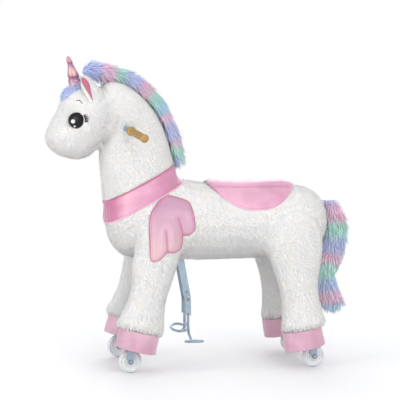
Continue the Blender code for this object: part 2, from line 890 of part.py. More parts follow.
def make_leg(end, side):
    parent, _, cuff_drop, ankle, hoof_forward, wheels = leg_tables[end][2:]
    tag = f"_{side_name(side)}"
    tube_y = side * (thigh_y + wheel_y) / 2
    plush = leg_form(f"{end}_leg_plush{tag}", white_plush, end, side)
    tube_length = leg_tube_top + cuff_drop - touch
    tube_centre = (0, tube_y, leg_tube_top - tube_length / 2)
    cylinder(f"{end}_leg_tube{tag}", steel, leg_tube_radius, tube_length, tube_centre, parent)
    cut(plush, cylinder("leg_tube_channel", None, leg_tube_radius + touch,
                        tube_length + 2 * touch + overrun,
                        (0, tube_y, leg_tube_top + touch - (tube_length + 2 * touch + overrun) / 2),
                        parent))
    cut(plush, cylinder("leg_shaft_channel", None, shaft_radius + touch,
                        2 * (abs(tube_y) - leg_tube_radius / 2), (0, 0, 0), parent, along_y))
    below = box("leg_floor", None, (2 * hoof_length, 2 * hoof_width, cuff_height),
                (0, side * wheel_y, -cuff_drop - cuff_height / 2 + touch), parent)
    cut(plush, below)
    bm = bmesh.new()
    bmesh.ops.create_cone(bm, cap_ends=True, segments=24,
                          radius1=1, radius2=1 - 2 * hoof_flare / hoof_length, depth=cuff_height)
    bmesh.ops.scale(bm, vec=(hoof_length / 2, hoof_width / 2, 1), verts=bm.verts)
    name = f"{end}_hoof{tag}"
    hoof = place(from_bmesh(bm, name), name, pink_satin, parent,
                 (-hoof_forward, side * wheel_y, -cuff_drop - cuff_height / 2))
    smooth(hoof)
    bm = bmesh.new()
    bmesh.ops.create_cone(bm, cap_ends=True, segments=24, radius1=1, radius2=1,
                          depth=2 * hoof_recess)
    bmesh.ops.scale(bm, vec=(hoof_length / 2 - hoof_wall, hoof_width / 2 - hoof_wall, 1),
                    verts=bm.verts)
    recess = place(from_bmesh(bm, "hoof_recess"), "hoof_recess", None, parent,
                   (-hoof_forward, side * wheel_y, -cuff_drop - cuff_height))
    cut(hoof, recess)
    make_fork(end, side, hoof, wheels[side], ankle)


def fork_profile(crown_top):
    half = fork_top_width / 2
    drop = fork_tip_radius
    tip = [(drop * math.sin(a), -drop * math.cos(a))
           for a in (math.radians(step) for step in (75, 45, 15, -15, -45, -75))]
    return [(-half, crown_top), (half, crown_top)] + tip


def make_fork(end, side, hoof, wheel_frame, ankle):
    tag = f"_{side_name(side)}"
    inner = wheel_width / 2 + wheel_side_clearance
    outer = inner + fork_plate
    slot_top = wheel_radius + wheel_top_clearance
    if end == "front":
        crown_top = slot_top + fork_crown
    else:
        crown_top = ankle - (cuff_height - hoof_recess) - touch
    name = f"{end}_fork{tag}"
    fork = outline(name, steel, fork_profile(crown_top), 2 * outer, wheel_frame)
    if end == "front":
        pin_bottom = crown_top - fork_crown / 2
        pin = cylinder("kingpin", None, kingpin_radius, kingpin_length,
                       (0, 0, pin_bottom + kingpin_length / 2), wheel_frame)
        cut(fork, pin, "UNION")
        cut(hoof, cylinder("kingpin_hole", None, kingpin_radius + touch,
                           kingpin_length + 2 * touch,
                           (0, 0, pin_bottom + kingpin_length / 2), wheel_frame))
    slot_floor = fork_tip_radius + overrun
    cut(fork, box("fork_slot", None,
                  (fork_top_width + overrun, 2 * inner, slot_top + slot_floor),
                  (0, 0, (slot_top - slot_floor) / 2), wheel_frame))
    cut(fork, cylinder("fork_eye", None, axle_radius + touch, 2 * outer + overrun, (0, 0, 0),
                       wheel_frame, along_y))
    half = outer + touch
    tip = half + axle_head
    turned(f"{end}_axle{tag}", dark_steel,
           [(0, tip), (axle_head_radius, tip), (axle_head_radius, half), (axle_radius, half),
            (axle_radius, -half), (axle_head_radius, -half), (axle_head_radius, -tip), (0, -tip)],
           8, wheel_frame, rotation=along_y)
    make_wheel(end, side, wheel_frame)


def make_wheel(end, side, wheel_frame):
    """A wheel whose tyre stands on one of its flats, level with the floor."""
    tag = f"_{side_name(side)}"
    hub_radius = hub_diameter / 2
    inner = hub_radius + touch
    half = wheel_width / 2
    half_step = math.pi / tyre_steps
    tread = wheel_radius / math.cos(half_step)
    flank = tread - tyre_shoulder
    lip = half - tyre_shoulder / 3
    lean = 0 if end == "front" else rear_lean
    turned(f"{end}_wheel_tyre{tag}", milky_plastic,
           [(inner, lip), (flank, half), (tread, half - tyre_shoulder),
            (tread, tyre_shoulder - half), (flank, -half), (inner, -lip)],
           tyre_steps, wheel_frame, rotation=(math.pi / 2, lean - half_step, 0), ring=True)
    bore = axle_radius + touch
    edge = hub_width / 2
    hub = turned(f"{end}_wheel_hub{tag}", milky_plastic,
                 [(bore, edge), (hub_radius, edge), (hub_radius, -edge), (bore, -edge)],
                 16, wheel_frame, rotation=along_y, ring=True)
    for k in range(hub_hole_count):
        turn = math.tau * k / hub_hole_count
        spot = (hub_hole_circle * math.cos(turn), 0, hub_hole_circle * math.sin(turn))
        cut(hub, cylinder("hub_hole", None, hub_hole_radius, hub_width + overrun, spot,
                          wheel_frame, along_y, 6))


def make_leg_pair(end):
    parent = leg_tables[end][2]
    tube_y = (thigh_y + wheel_y) / 2
    cylinder(f"{end}_cross_shaft", steel, shaft_radius,
             2 * (tube_y - leg_tube_radius - touch), (0, 0, 0), parent, along_y)
    for side in (left, right):
        make_leg(end, side)


def pin_through(name, half_grip, parent, location=(0, 0, 0)):
    """A bolt with a head outside each plate."""
    half = half_grip + touch
    tip = half + pin_head
    turned(name, dark_steel,
           [(0, tip), (pin_head_radius, tip), (pin_head_radius, half), (pin_radius, half),
            (pin_radius, -half), (pin_head_radius, -half), (pin_head_radius, -tip), (0, -tip)],
           10, parent, location, along_y)


def make_pedals():
    end = lever_end - lever_pivot
    length = end.length
    tilt = math.atan2(lever_run, lever_fall)
    lever_outer = lever_spacing / 2 + lever_plate / 2
    radius = lever_width / 2
    for side in (left, right):
        top = [(radius * math.cos(a), radius * math.sin(a))
               for a in (math.radians(step) for step in range(0, 181, 30))]
        points = top + [(x, -length - z) for x, z in top[::-1]]
        lever = outline("pedal_lever_" + side_name(side), steel, points, lever_plate, levers,
                        (0, side * lever_spacing / 2, 0), (0, -tilt, 0))
        for spot in (Vector((0, 0, 0)), end):
            cut(lever, cylinder("lever_hole", None, pin_radius + touch, track, spot, levers,
                                along_y))
    pin_through("pedal_pivot_bolt", lever_outer, levers)
    plate_inner = lever_outer + touch
    plate_y = plate_inner + hanger_plate / 2
    pin_through("pedal_joint_bolt", plate_inner + hanger_plate, hanger)
    corner = hanger_width / 2
    for side in (left, right):
        tag = side_name(side)
        top = [(corner * math.cos(a), corner * math.sin(a))
               for a in (math.radians(step) for step in range(0, 181, 30))]
        low = hanger_height - corner
        points = top + [(-corner, -low), (corner, -low)]
        frame = outline("pedal_hanger_" + tag, steel, points, hanger_plate, hanger,
                        (0, side * plate_y, 0))
        rod_top = -low + rod_radius
        rod_low = -low - rod_fall
        ring_z = rod_low - ring_drop
        inner_y = ring_out - ring_half_length * math.cos(ring_roll)
        inner_z = ring_z - ring_half_length * math.sin(ring_roll)
        rod = tube("pedal_rod_" + tag, None,
                   [(0, side * plate_y, rod_top), (0, side * plate_y, rod_low + ring_drop),
                    (0, side * (plate_y + ring_drop / 3), rod_low + ring_drop / 3),
                    (0, side * (plate_y + ring_drop), rod_low - ring_drop / 3),
                    (0, side * inner_y, inner_z)],
                   rod_radius, hanger)
        cut(frame, rod, "UNION")
        steps = 16
        loop = []
        for k in range(steps):
            turn = math.tau * k / steps
            across = ring_half_length * math.cos(turn)
            loop.append((ring_half_width * math.sin(turn),
                         side * (ring_out + across * math.cos(ring_roll)),
                         ring_z + across * math.sin(ring_roll)))
        cut(frame, tube("foot_ring_" + tag, None, loop, rod_radius, hanger, cyclic=True), "UNION")
        cut(frame, cylinder("hanger_hole", None, pin_radius + touch, track, (0, 0, 0), hanger,
                            along_y))
    bar_half = plate_y - rod_radius - touch
    cylinder("pedal_cross_bar", steel, rod_radius, 2 * bar_half,
             (0, 0, -low - cross_bar_drop), hanger, along_y, 16)


make_torso()
make_neck()
make_head()
make_horn()
make_mane()
make_tail()
make_collar()
make_wing(left)
make_wing(right)
make_saddle()
make_frame()
make_steering()
make_leg_pair("front")
make_leg_pair("rear")
make_pedals()
bpy.context.view_layer.update()
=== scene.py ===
import math
import bmesh
import bpy
import numpy as np
from mathutils import Matrix, Vector, noise
from mathutils.bvhtree import BVHTree


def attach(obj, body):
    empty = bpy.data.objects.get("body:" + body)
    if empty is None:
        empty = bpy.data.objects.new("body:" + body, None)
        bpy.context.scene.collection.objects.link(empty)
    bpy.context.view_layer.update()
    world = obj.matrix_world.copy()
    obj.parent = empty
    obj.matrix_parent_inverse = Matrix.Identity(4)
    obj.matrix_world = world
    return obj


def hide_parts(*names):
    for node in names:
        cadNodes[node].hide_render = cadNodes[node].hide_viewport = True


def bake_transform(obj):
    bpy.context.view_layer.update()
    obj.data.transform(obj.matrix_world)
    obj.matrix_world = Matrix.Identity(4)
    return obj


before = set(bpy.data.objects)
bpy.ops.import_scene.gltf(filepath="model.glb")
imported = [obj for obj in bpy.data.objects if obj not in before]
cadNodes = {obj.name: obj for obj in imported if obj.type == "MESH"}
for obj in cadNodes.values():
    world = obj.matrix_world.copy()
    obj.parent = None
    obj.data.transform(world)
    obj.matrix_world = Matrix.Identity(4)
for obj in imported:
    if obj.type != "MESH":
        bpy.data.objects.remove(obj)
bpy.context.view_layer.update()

sides = {"left": -1, "right": 1}


# Tools

def pick(*objs):
    bpy.ops.object.select_all(action="DESELECT")
    for obj in objs:
        obj.select_set(True)
    bpy.context.view_layer.objects.active = objs[-1]


def primitive(operator, name, **settings):  # a new primitive, with nothing else selected
    bpy.ops.object.select_all(action="DESELECT")
    operator(**settings)
    bpy.context.object.name = name
    return bpy.context.object


def pickFaces(obj, test):  # in edit mode, the faces that pass a test
    bm = bmesh.from_edit_mesh(obj.data)
    for face in bm.faces:
        face.select = test(face)
    bmesh.update_edit_mesh(obj.data)


def drop(obj):
    bpy.data.objects.remove(obj, do_unlink=True)


def shape(obj, kind, **settings):
    pick(obj)
    added = obj.modifiers.new(kind.lower(), kind)
    for key, value in settings.items():
        setattr(added, key, value)
    bpy.ops.object.modifier_apply(modifier=added.name)
    return obj


def linked(name, data):
    obj = bpy.data.objects.new(name, data)
    bpy.context.scene.collection.objects.link(obj)
    return obj


def meshed(name, bm):
    mesh = bpy.data.meshes.new(name)
    bm.to_mesh(mesh)
    bm.free()
    return linked(name, mesh)


def copyNodes(name, *nodeNames):  # CAD nodes as one new mesh, its doubles merged
    bm = bmesh.new()
    for nodeName in nodeNames:
        bm.from_mesh(cadNodes[nodeName].data)
    bmesh.ops.remove_doubles(bm, verts=bm.verts, dist=0.00002)
    return meshed(name, bm)


def gridMesh(name, rows, closed=False):  # rows of places as one surface, open where a place is None
    bm = bmesh.new()
    rows = [[bm.verts.new(place) if place else None for place in row] for row in rows]
    for low, high in zip(rows, rows[1:]):
        for index in range(len(low) if closed else len(low) - 1):
            after = (index + 1) % len(low)
            corners = (low[index], low[after], high[after], high[index])
            if all(corners):
                bm.faces.new(corners)
    return meshed(name, bm)


def remesh(obj, voxel):
    return shape(obj, "REMESH", mode="VOXEL", voxel_size=voxel, use_smooth_shade=True)


def swell(obj, amount):
    return shape(obj, "DISPLACE", strength=amount, mid_level=0)


def soften(obj, rounds):
    return shape(obj, "SMOOTH", iterations=rounds, factor=0.5)


def treeOf(*objs):
    verts, faces = [], []
    for obj in objs:
        start = len(verts)
        verts.extend(v.co.copy() for v in obj.data.vertices)
        faces.extend([start + i for i in p.vertices] for p in obj.data.polygons)
    return BVHTree.FromPolygons(verts, faces)


def fromSide(tree, x, z, sign):  # where a level line from that side meets a surface, and the normal there
    return tree.ray_cast(Vector((x, sign * 0.4, z)), Vector((0, -sign, 0)))[:2]


def moveVertices(obj, rule):
    normals = [v.normal.copy() for v in obj.data.vertices]
    for v, normal in zip(obj.data.vertices, normals):
        v.co = rule(v.co.copy(), normal)
    obj.data.update()
    return obj


def easy(value, low, high):  # from 0 at low to 1 at high, with a soft start and end
    share = max(0.0, min(1.0, (value - low) / (high - low)))
    return share * share * (3 - 2 * share)


def distanceToLine(x, z, line):  # from a point to a line of points, both seen from the side
    nearest = 1.0
    for (ax, az), (bx, bz) in zip(line, line[1:]):
        long = (bx - ax) ** 2 + (bz - az) ** 2
        share = max(0, min(1, ((x - ax) * (bx - ax) + (z - az) * (bz - az)) / long))
        nearest = min(nearest, math.hypot(x - ax - (bx - ax) * share, z - az - (bz - az) * share))
    return nearest


def dotted(outline, parts):  # a closed outline's points, with more between them at even steps
    return [(ax + (bx - ax) * part / parts, az + (bz - az) * part / parts)
            for (ax, az), (bx, bz) in zip(outline, outline[1:] + outline[:1]) for part in range(parts)]


def setValues(obj, name, values, kind="FLOAT"):
    attribute = obj.data.attributes.get(name) or obj.data.attributes.new(name, kind, "POINT")
    flat = np.asarray(values, np.float32).ravel()
    attribute.data.foreach_set("vector" if kind == "FLOAT_VECTOR" else "value", flat)


def setAll(obj, name, value):
    setValues(obj, name, [value] * len(obj.data.vertices))


def valuesOf(obj, name):
    return [spot.value for spot in obj.data.attributes[name].data]


def paint(obj, material):
    obj.data.materials.clear()
    obj.data.materials.append(material)


def seat(obj, body, material, slotName, *replaced):  # colours a finished piece and gives it its body
    paint(obj, material)
    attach(obj, body)
    if replaced:
        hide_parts(*replaced)
    return obj


def outward(obj):
    bm = bmesh.new()
    bm.from_mesh(obj.data)
    bmesh.ops.remove_doubles(bm, verts=bm.verts, dist=0.00001)
    bmesh.ops.recalc_face_normals(bm, faces=bm.faces)
    bm.to_mesh(obj.data)
    bm.free()
    obj.data.shade_smooth()
    return obj


def curveMesh(name, points, closed, taper=None, **settings):  # a curve through points, made a mesh
    curve = bpy.data.curves.new(name, "CURVE")
    for key, value in settings.items():
        setattr(curve, key, value)
    spline = curve.splines.new("POLY")
    spline.points.add(len(points) - 1)
    for index, (target, point) in enumerate(zip(spline.points, points)):
        target.co = (*point, 1)
        target.radius = taper[index] if taper else 1
    spline.use_cyclic_u = closed
    pick(linked(name, curve))
    bpy.ops.object.convert(target="MESH")
    return outward(bpy.context.object)


def cordMesh(name, points, radius, closed=False, steps=6, taper=None):  # piping or thread along points
    return curveMesh(name, points, closed, taper, dimensions="3D", bevel_depth=radius,
                     bevel_resolution=steps // 2 - 1, use_fill_caps=not closed)


# Materials

def feed(tree, socket, value):  # links another node's output, or sets a plain value
    if isinstance(value, bpy.types.NodeSocket):
        tree.links.new(value, socket)
    else:
        socket.default_value = value


def addNode(tree, kind, inputs=None, **settings):
    node = tree.nodes.new(kind)
    for key, value in settings.items():
        setattr(node, key, value)
    for key, value in (inputs or {}).items():
        feed(tree, node.inputs[key], value)
    return node


def newMaterial(name, colour, roughness, **sockets):
    material = bpy.data.materials.new(name)
    material.use_nodes = True
    shader = material.node_tree.nodes["Principled BSDF"]
    shader.inputs["Base Color"].default_value = (*colour, 1)
    shader.inputs["Roughness"].default_value = roughness
    for key, value in sockets.items():
        shader.inputs[key.replace("_", " ")].default_value = value
    return material, material.node_tree, shader


def objectPlace(tree, scale=(1, 1, 1)):
    place = addNode(tree, "ShaderNodeTexCoord").outputs["Object"]
    return addNode(tree, "ShaderNodeMapping", {"Vector": place, "Scale": scale}).outputs["Vector"]


def grain(tree, place, scale, detail=3.0):
    return addNode(tree, "ShaderNodeTexNoise", {
        "Vector": place, "Scale": scale, "Detail": detail, "Roughness": 0.6}).outputs["Fac"]


def ramp(tree, value, stops):
    made = addNode(tree, "ShaderNodeValToRGB", {"Fac": value})
    elements = made.color_ramp.elements
    for index, (position, colour) in ((0, stops[0]), (1, stops[-1])):
        elements[index].position, elements[index].color = position, (*colour, 1)
    for position, colour in stops[1:-1]:
        elements.new(position).color = (*colour, 1)
    return made.outputs["Color"]


def spread(tree, value, low, high, toLow=0.0, toHigh=1.0):
    return addNode(tree, "ShaderNodeMapRange", {
        "Value": value, "From Min": low, "From Max": high, "To Min": toLow,
        "To Max": toHigh}).outputs["Result"]


def blendColours(tree, factor, first, second, how="MIX"):
    first, second = ((*c, 1) if isinstance(c, tuple) else c for c in (first, second))
    return addNode(tree, "ShaderNodeMix", {0: factor, 6: first, 7: second}, data_type="RGBA",
                   blend_type=how).outputs[2]


def bumpFrom(tree, shader, height, strength, distance, before=None):
    bump = addNode(tree, "ShaderNodeBump", {
        "Height": height, "Strength": strength, "Distance": distance})
    if before is not None:
        feed(tree, bump.inputs["Normal"], before)
    feed(tree, shader.inputs["Normal"], bump.outputs["Normal"])
    return bump.outputs["Normal"]


def valueOf(tree, name):
    return addNode(tree, "ShaderNodeAttribute", attribute_type="GEOMETRY",
                   attribute_name=name).outputs["Fac"]


plushLook = {
    "colour": (0.950, 0.934, 0.900), "shade": (0.915, 0.912, 0.925),
    # fold: the colour of the painted shade in the face's creases, and its share
    "blush": (0.84, 0.66, 0.72), "fold": (0.74, 0.70, 0.66), "foldShadeShare": 0.42,
    "patches": 26, "fibre": 700, "fibreHeight": 0.0015,
}


def makePlush(name, onFur):
    look = plushLook
    material, tree, shader = newMaterial(name, look["colour"], 0.95, Sheen_Weight=0.25,
                                         Sheen_Roughness=0.6)
    place = objectPlace(tree)
    patchy = spread(tree, grain(tree, place, look["patches"], 2), 0.35, 0.75)
    colour = blendColours(tree, patchy, look["colour"], look["shade"])
    if onFur:
        tone = spread(tree, valueOf(tree, "tone"), 0, 1, 0.96, 1.02)
        colour = blendColours(tree, 1.0, colour, tone, "MULTIPLY")
    colour = blendColours(tree, valueOf(tree, "blush"), colour, look["blush"])
    # painted shade in the face's creases
    fold = spread(tree, valueOf(tree, "fold"), 0, 1, 0, look["foldShadeShare"])
    feed(tree, shader.inputs["Base Color"], blendColours(tree, fold, colour, look["fold"]))
    bumpFrom(tree, shader, grain(tree, place, look["fibre"], 2), 0.3, look["fibreHeight"])
    return material


satinLook = {  # each satin's dark and light tone
    "collar": ((0.42, 0.11, 0.23), (0.68, 0.29, 0.45)),
    "wing": ((0.46, 0.24, 0.35), (0.62, 0.37, 0.43)),
    "hoof": ((0.51, 0.27, 0.36), (0.63, 0.39, 0.48)),
    "saddle": ((0.60, 0.28, 0.42), (0.74, 0.40, 0.52)),
    "trim": ((0.72, 0.38, 0.52), (0.80, 0.52, 0.62)),
    "ear": ((0.29, 0.05, 0.10), (0.46, 0.11, 0.17)),
    # the seam's dark tone also paints the shade along satin rims, grooves and folds
    "seam": ((0.44, 0.12, 0.22), (0.54, 0.18, 0.30)),
}
satinRuns = {  # a colour ramp: along which axis, and the places and colours that it passes. On the collar it is a painted sheen, a painted highlight band that darkens towards the front and the back; on the wing it darkens towards the top
    "wing": ("Z", 0.36, 0.46, [(0.0, (0.65, 0.42, 0.45)), (0.45, (0.60, 0.37, 0.45)),
                              (1.0, (0.50, 0.28, 0.39))]),
    "collar": ("X", -0.29, -0.05, [(0.0, (0.47, 0.13, 0.26)), (0.13, (0.53, 0.17, 0.31)),
                                  (0.25, (0.78, 0.46, 0.54)), (0.42, (0.65, 0.35, 0.47)),
                                  (0.62, (0.58, 0.27, 0.40)), (1.0, (0.49, 0.18, 0.28))]),
}
satinWeave = {
    "threads": (900, 900, 180), "threadHeight": 0.0006, "creaseRun": (1, 1, 0.6), "creases": 34,
    "creaseHeight": 0.006, "runShare": 0.72, "rimShadeShare": 0.75,
}


def makeSatin(look):  # a warp of fine threads, with soft creases, and painted shade that darkens its rims, grooves and folds
    dark, light = satinLook[look]
    material, tree, shader = newMaterial(look + "Satin", light, 0.42, Sheen_Weight=0.5,
                                         Sheen_Roughness=0.35, Specular_IOR_Level=0.6)
    place = objectPlace(tree)
    colour = blendColours(tree, spread(tree, grain(tree, place, 11), 0.35, 0.68), dark, light)
    # a colour ramp along one axis: on the collar a painted highlight band
    if look in satinRuns:
        axis, low, high, stops = satinRuns[look]
        parts = addNode(tree, "ShaderNodeSeparateXYZ", {"Vector": place})
        run = ramp(tree, spread(tree, parts.outputs[axis], low, high), stops)
        colour = blendColours(tree, satinWeave["runShare"], colour, run)
    # painted shade: where the rim share is high, the satin takes the seam's dark tone
    rim = spread(tree, valueOf(tree, "rim"), 0, 1, 0, satinWeave["rimShadeShare"])
    colour = blendColours(tree, rim, colour, satinLook["seam"][0])
    feed(tree, shader.inputs["Base Color"], colour)
    threads = grain(tree, objectPlace(tree, satinWeave["threads"]), 1.0, 2)
    first = bumpFrom(tree, shader, threads, 0.25, satinWeave["threadHeight"])
    creases = grain(tree, objectPlace(tree, satinWeave["creaseRun"]), satinWeave["creases"], 2)
    bumpFrom(tree, shader, creases, 0.35, satinWeave["creaseHeight"], first)
    return material


furBands = {
    "blue": (0.46, 0.59, 0.88), "periwinkle": (0.48, 0.56, 0.92), "pink": (0.90, 0.56, 0.74),
    "mint": (0.44, 0.80, 0.70), "lavender": (0.52, 0.58, 0.88), "sky": (0.42, 0.70, 0.86),
}
# Where each band starts: degrees round the crest from the brow, millimetres down the tail
maneBands = [(-1, "periwinkle"), (17, "pink"), (26.5, "mint"), (35, "lavender"), (47, "pink"),
             (57, "mint"), (67, "sky"), (77, "pink"), (83, "lavender"), (100, "pink"), (105, "mint"),
             (116.5, "blue"), (130, "blue")]
tailBands = [(-1, "blue"), (30, "pink"), (75, "mint"), (120, "lavender"), (168, "pink"),
             (195, "mint"), (240, "blue"), (279, "pink"), (313, "sky"), (360, "sky")]


def makeFurColours(name, bands, edge):
    material, tree, shader = newMaterial(name, (0.6, 0.6, 0.8), 0.72, Sheen_Weight=0.3,
                                         Sheen_Roughness=0.5)
    whole = bands[-1][0]
    stops = [(0.0, furBands[bands[0][1]])]
    for (_, before), (start, after) in zip(bands, bands[1:-1]):
        stops.append(((start - edge) / whole, furBands[before]))
        stops.append(((start + edge) / whole, furBands[after]))
    stops.append((1.0, furBands[bands[-1][1]]))
    colour = ramp(tree, spread(tree, valueOf(tree, "place"), 0, whole), stops)
    pale = spread(tree, valueOf(tree, "tip"), 0.1, 1.0, 0.04, 0.30)
    colour = blendColours(tree, pale, colour, (0.93, 0.93, 0.95))
    tone = spread(tree, valueOf(tree, "tone"), 0, 1, 0.88, 1.10)
    feed(tree, shader.inputs["Base Color"], blendColours(tree, 1.0, colour, tone, "MULTIPLY"))
    bumpFrom(tree, shader, grain(tree, objectPlace(tree), 900, 2), 0.3, 0.001)
    return material


# rise: painted light and shade across each padded ring; groove: painted shade in the grooves; tip: painted
# shade on the sides, darker towards the tip
hornColours = {
    "rise": [(0.0, (0.26, 0.09, 0.13)), (0.12, (0.42, 0.17, 0.22)), (0.38, (0.76, 0.47, 0.42)),
             (0.62, (0.74, 0.44, 0.47)), (0.85, (0.40, 0.22, 0.35)), (1.0, (0.30, 0.14, 0.22))],
    "cloud": (0.44, 0.20, 0.29), "groove": (0.14, 0.05, 0.09), "tip": (0.25, 0.15, 0.21),
}


def makeHornFoil():
    material, tree, shader = newMaterial("hornFoil", (0.7, 0.4, 0.5), 0.34, Metallic=0.55,
                                         Sheen_Weight=0.3, Sheen_Roughness=0.4)
    # painted light and shade: each ring lighter across its middle, darker towards its grooves
    colour = ramp(tree, valueOf(tree, "rise"), hornColours["rise"])
    cloud = spread(tree, grain(tree, objectPlace(tree), 60, 2), 0.35, 0.70, 0, 0.40)
    # painted shade on the sides, darker towards the tip
    for share, tint in ((cloud, "cloud"), (valueOf(tree, "groove"), "groove"),
                        (valueOf(tree, "sideShadeAndDarkTip"), "tip")):
        colour = blendColours(tree, share, colour, hornColours[tint])
    feed(tree, shader.inputs["Base Color"], colour)
    bumpFrom(tree, shader, grain(tree, objectPlace(tree, (1, 1, 0.5)), 320), 0.25, 0.0015)
    return material


def makePainted(name, colour, roughness, metallic, wear=0.08):
    material, tree, shader = newMaterial(name, colour, roughness, Metallic=metallic)
    place = objectPlace(tree)
    worn = tuple(min(1, c * (1 + wear * 3)) for c in colour)
    patches = spread(tree, grain(tree, place, 90, 4), 0.35, 0.70)
    feed(tree, shader.inputs["Base Color"], blendColours(tree, patches, colour, worn))
    feed(tree, shader.inputs["Roughness"],
         spread(tree, grain(tree, place, 240), 0.3, 0.7, roughness - 0.08, roughness + 0.12))
    bumpFrom(tree, shader, grain(tree, place, 600), 0.12, 0.0004)
    return material


def makeMilky(name, colour):
    material, tree, shader = newMaterial(name, colour, 0.22, Subsurface_Weight=0.35,
                                         Subsurface_Scale=0.012, Coat_Weight=0.5, Coat_Roughness=0.08)
    place = objectPlace(tree)
    cloud = spread(tree, grain(tree, place, 70), 0.3, 0.7)
    shaded = tuple(c * 0.82 for c in colour)
    feed(tree, shader.inputs["Base Color"], blendColours(tree, cloud, colour, shaded))
    bumpFrom(tree, shader, grain(tree, place, 160), 0.15, 0.001)
    return material


eyeLook = {  # each glint's place, seen from the side, and its radius
    "glints": [((-0.3792, 0.7124), 0.0058), ((-0.3742, 0.6985), 0.0026)], "glint": (0.66, 0.67, 0.71),
    # rim: a circle outside which the eye takes a painted reflection, a pale crescent along its lower back
    # edge
    "rim": ((-0.3688, 0.7168), 0.0215), "rimReflectionColour": (0.45, 0.42, 0.46),
    "black": ((0.006, 0.005, 0.006), (0.014, 0.010, 0.012)),
}


def distanceFrom(tree, spot):  # seen from the side
    place = addNode(tree, "ShaderNodeTexCoord").outputs["Object"]
    parts = addNode(tree, "ShaderNodeSeparateXYZ", {"Vector": place}).outputs
    flat = addNode(tree, "ShaderNodeCombineXYZ", {"X": parts["X"], "Z": parts["Z"]})
    return addNode(tree, "ShaderNodeVectorMath", {
        0: flat.outputs["Vector"], 1: (spot[0], 0, spot[1])}, operation="DISTANCE").outputs["Value"]


def makeEyeGloss():
    material, tree, shader = newMaterial("eyeGloss", (0.012, 0.011, 0.012), 0.22,
                                         Specular_IOR_Level=0.22)
    colour = blendColours(tree, grain(tree, objectPlace(tree), 60), *eyeLook["black"])
    spot, size = eyeLook["rim"]
    # a painted reflection: a pale crescent outside the rim circle, along the eye's lower back edge
    outside = spread(tree, distanceFrom(tree, spot), size - 0.0008, size + 0.0012, 0, 0.16)
    colour = blendColours(tree, outside, colour, eyeLook["rimReflectionColour"])
    for spot, size in eyeLook["glints"]:
        inside = spread(tree, distanceFrom(tree, spot), size + 0.0006, size - 0.0006)
        colour = blendColours(tree, inside, colour, eyeLook["glint"])
    feed(tree, shader.inputs["Base Color"], colour)
    return material


plushWhite = makePlush("plushWhite", False)
plushPile = makePlush("plushPile", True)
satin = {look: makeSatin(look) for look in satinLook}
maneColours = makeFurColours("maneColours", maneBands, 1.8)
tailColours = makeFurColours("tailColours", tailBands, 7)
hornFoil = makeHornFoil()
eyeGloss = makeEyeGloss()
threadBlack = makePainted("threadBlack", (0.02, 0.018, 0.02), 0.5, 0.0)
steelPaint = makePainted("steelPaint", (0.27, 0.34, 0.41), 0.36, 0.5)
boltSteel = makePainted("boltSteel", (0.20, 0.21, 0.23), 0.32, 0.9)
gripGold = makePainted("gripGold", (0.36, 0.22, 0.07), 0.38, 0.3)
nylonWhite = makePainted("nylonWhite", (0.72, 0.74, 0.76), 0.45, 0.0, 0.03)
milkyTyre = makeMilky("milkyTyre", (0.71, 0.73, 0.77))
milkyHub = makeMilky("milkyHub", (0.80, 0.80, 0.80))
print("materials made")


# The stuffed skins

skinLook = {
    "voxel": 0.005, "closing": 0.018, "shrink": 0.003, "smoothing": 8, "legReach": 0.045,
    "legTop": 0.500, "foldDepth": 0.0050, "foldWidth": 0.0090, "foldTop": 0.715, "foldFade": 0.012,
    "cheekFold": [(-0.3130, 0.6320), (-0.2911, 0.6424), (-0.2739, 0.6622), (-0.2596, 0.6848),
                  (-0.2500, 0.7080), (-0.2470, 0.7200)],
    "smile": [(-0.4206, 0.6190), (-0.4080, 0.6150), (-0.3920, 0.6120), (-0.3788, 0.6105)],
}
stuffing = {  # where the skin is stuffed fuller than the forms under it, or less
    "spots": [(Vector((-0.395, 0, 0.635)), 0.110, 0.0060), (Vector((-0.436, 0, 0.626)), 0.075, 0.0085)],
    "front": [(0.280, 0), (0.300, 0.004), (0.316, 0.008), (0.337, 0.011), (0.360, 0.010),
              (0.380, 0.008), (0.407, 0.006), (0.430, 0.007), (0.454, 0.008), (0.475, 0.005),
              (0.500, 0.0035), (0.600, 0.0035), (0.625, 0)],
    "frontEdges": (-0.170, -0.230, -0.325, -0.345),
    "brow": [(0.666, 0), (0.690, 0.0038), (0.708, 0.0055), (0.727, 0.0075), (0.745, 0.0070),
             (0.761, 0.0044), (0.780, 0.0035), (0.795, 0)],
    "browEdges": (-0.360, -0.410),
    "cuff": 0.0045, "cuffHeight": 0.014, "cuffRun": 0.016,
    "corner": Vector((-0.207, -0.110, 0.312)), "cornerReach": 0.062, "cornerFill": 0.010,
}


def closedSkin(name, *nodeNames):  # the CAD forms as one skin, its slots and creases filled
    skin = copyNodes(name, *nodeNames)
    for amount in (skinLook["closing"], -skinLook["closing"]):
        remesh(skin, skinLook["voxel"])
        swell(skin, amount)
    remesh(skin, skinLook["voxel"])
    soften(skin, skinLook["smoothing"])
    return swell(skin, -skinLook["shrink"])


def foldAt(co):  # how deep a face fold is at a place, from 0 to 1
    if co.x >= -0.22 or abs(co.y) <= 0.03 or co.z <= 0.58:
        return 0.0
    cheek, smile = (distanceToLine(co.x, co.z, skinLook[line]) for line in ("cheekFold", "smile"))
    width = skinLook["foldWidth"]
    fade = 1 / (1 + math.exp((co.z - skinLook["foldTop"]) / skinLook["foldFade"]))
    return max(fade * math.exp(-(cheek / width) ** 2), 0.4 * math.exp(-(smile / width * 1.7) ** 2))


def pressFolds(skin):
    folds = [foldAt(v.co) for v in skin.data.vertices]
    depth = skinLook["foldDepth"]
    moved = [v.co - v.normal * depth * fold for v, fold in zip(skin.data.vertices, folds)]
    for v, place in zip(skin.data.vertices, moved):
        v.co = place
    # the same depth darkens the plush there, as painted shade in the crease
    setValues(skin, "fold", folds)


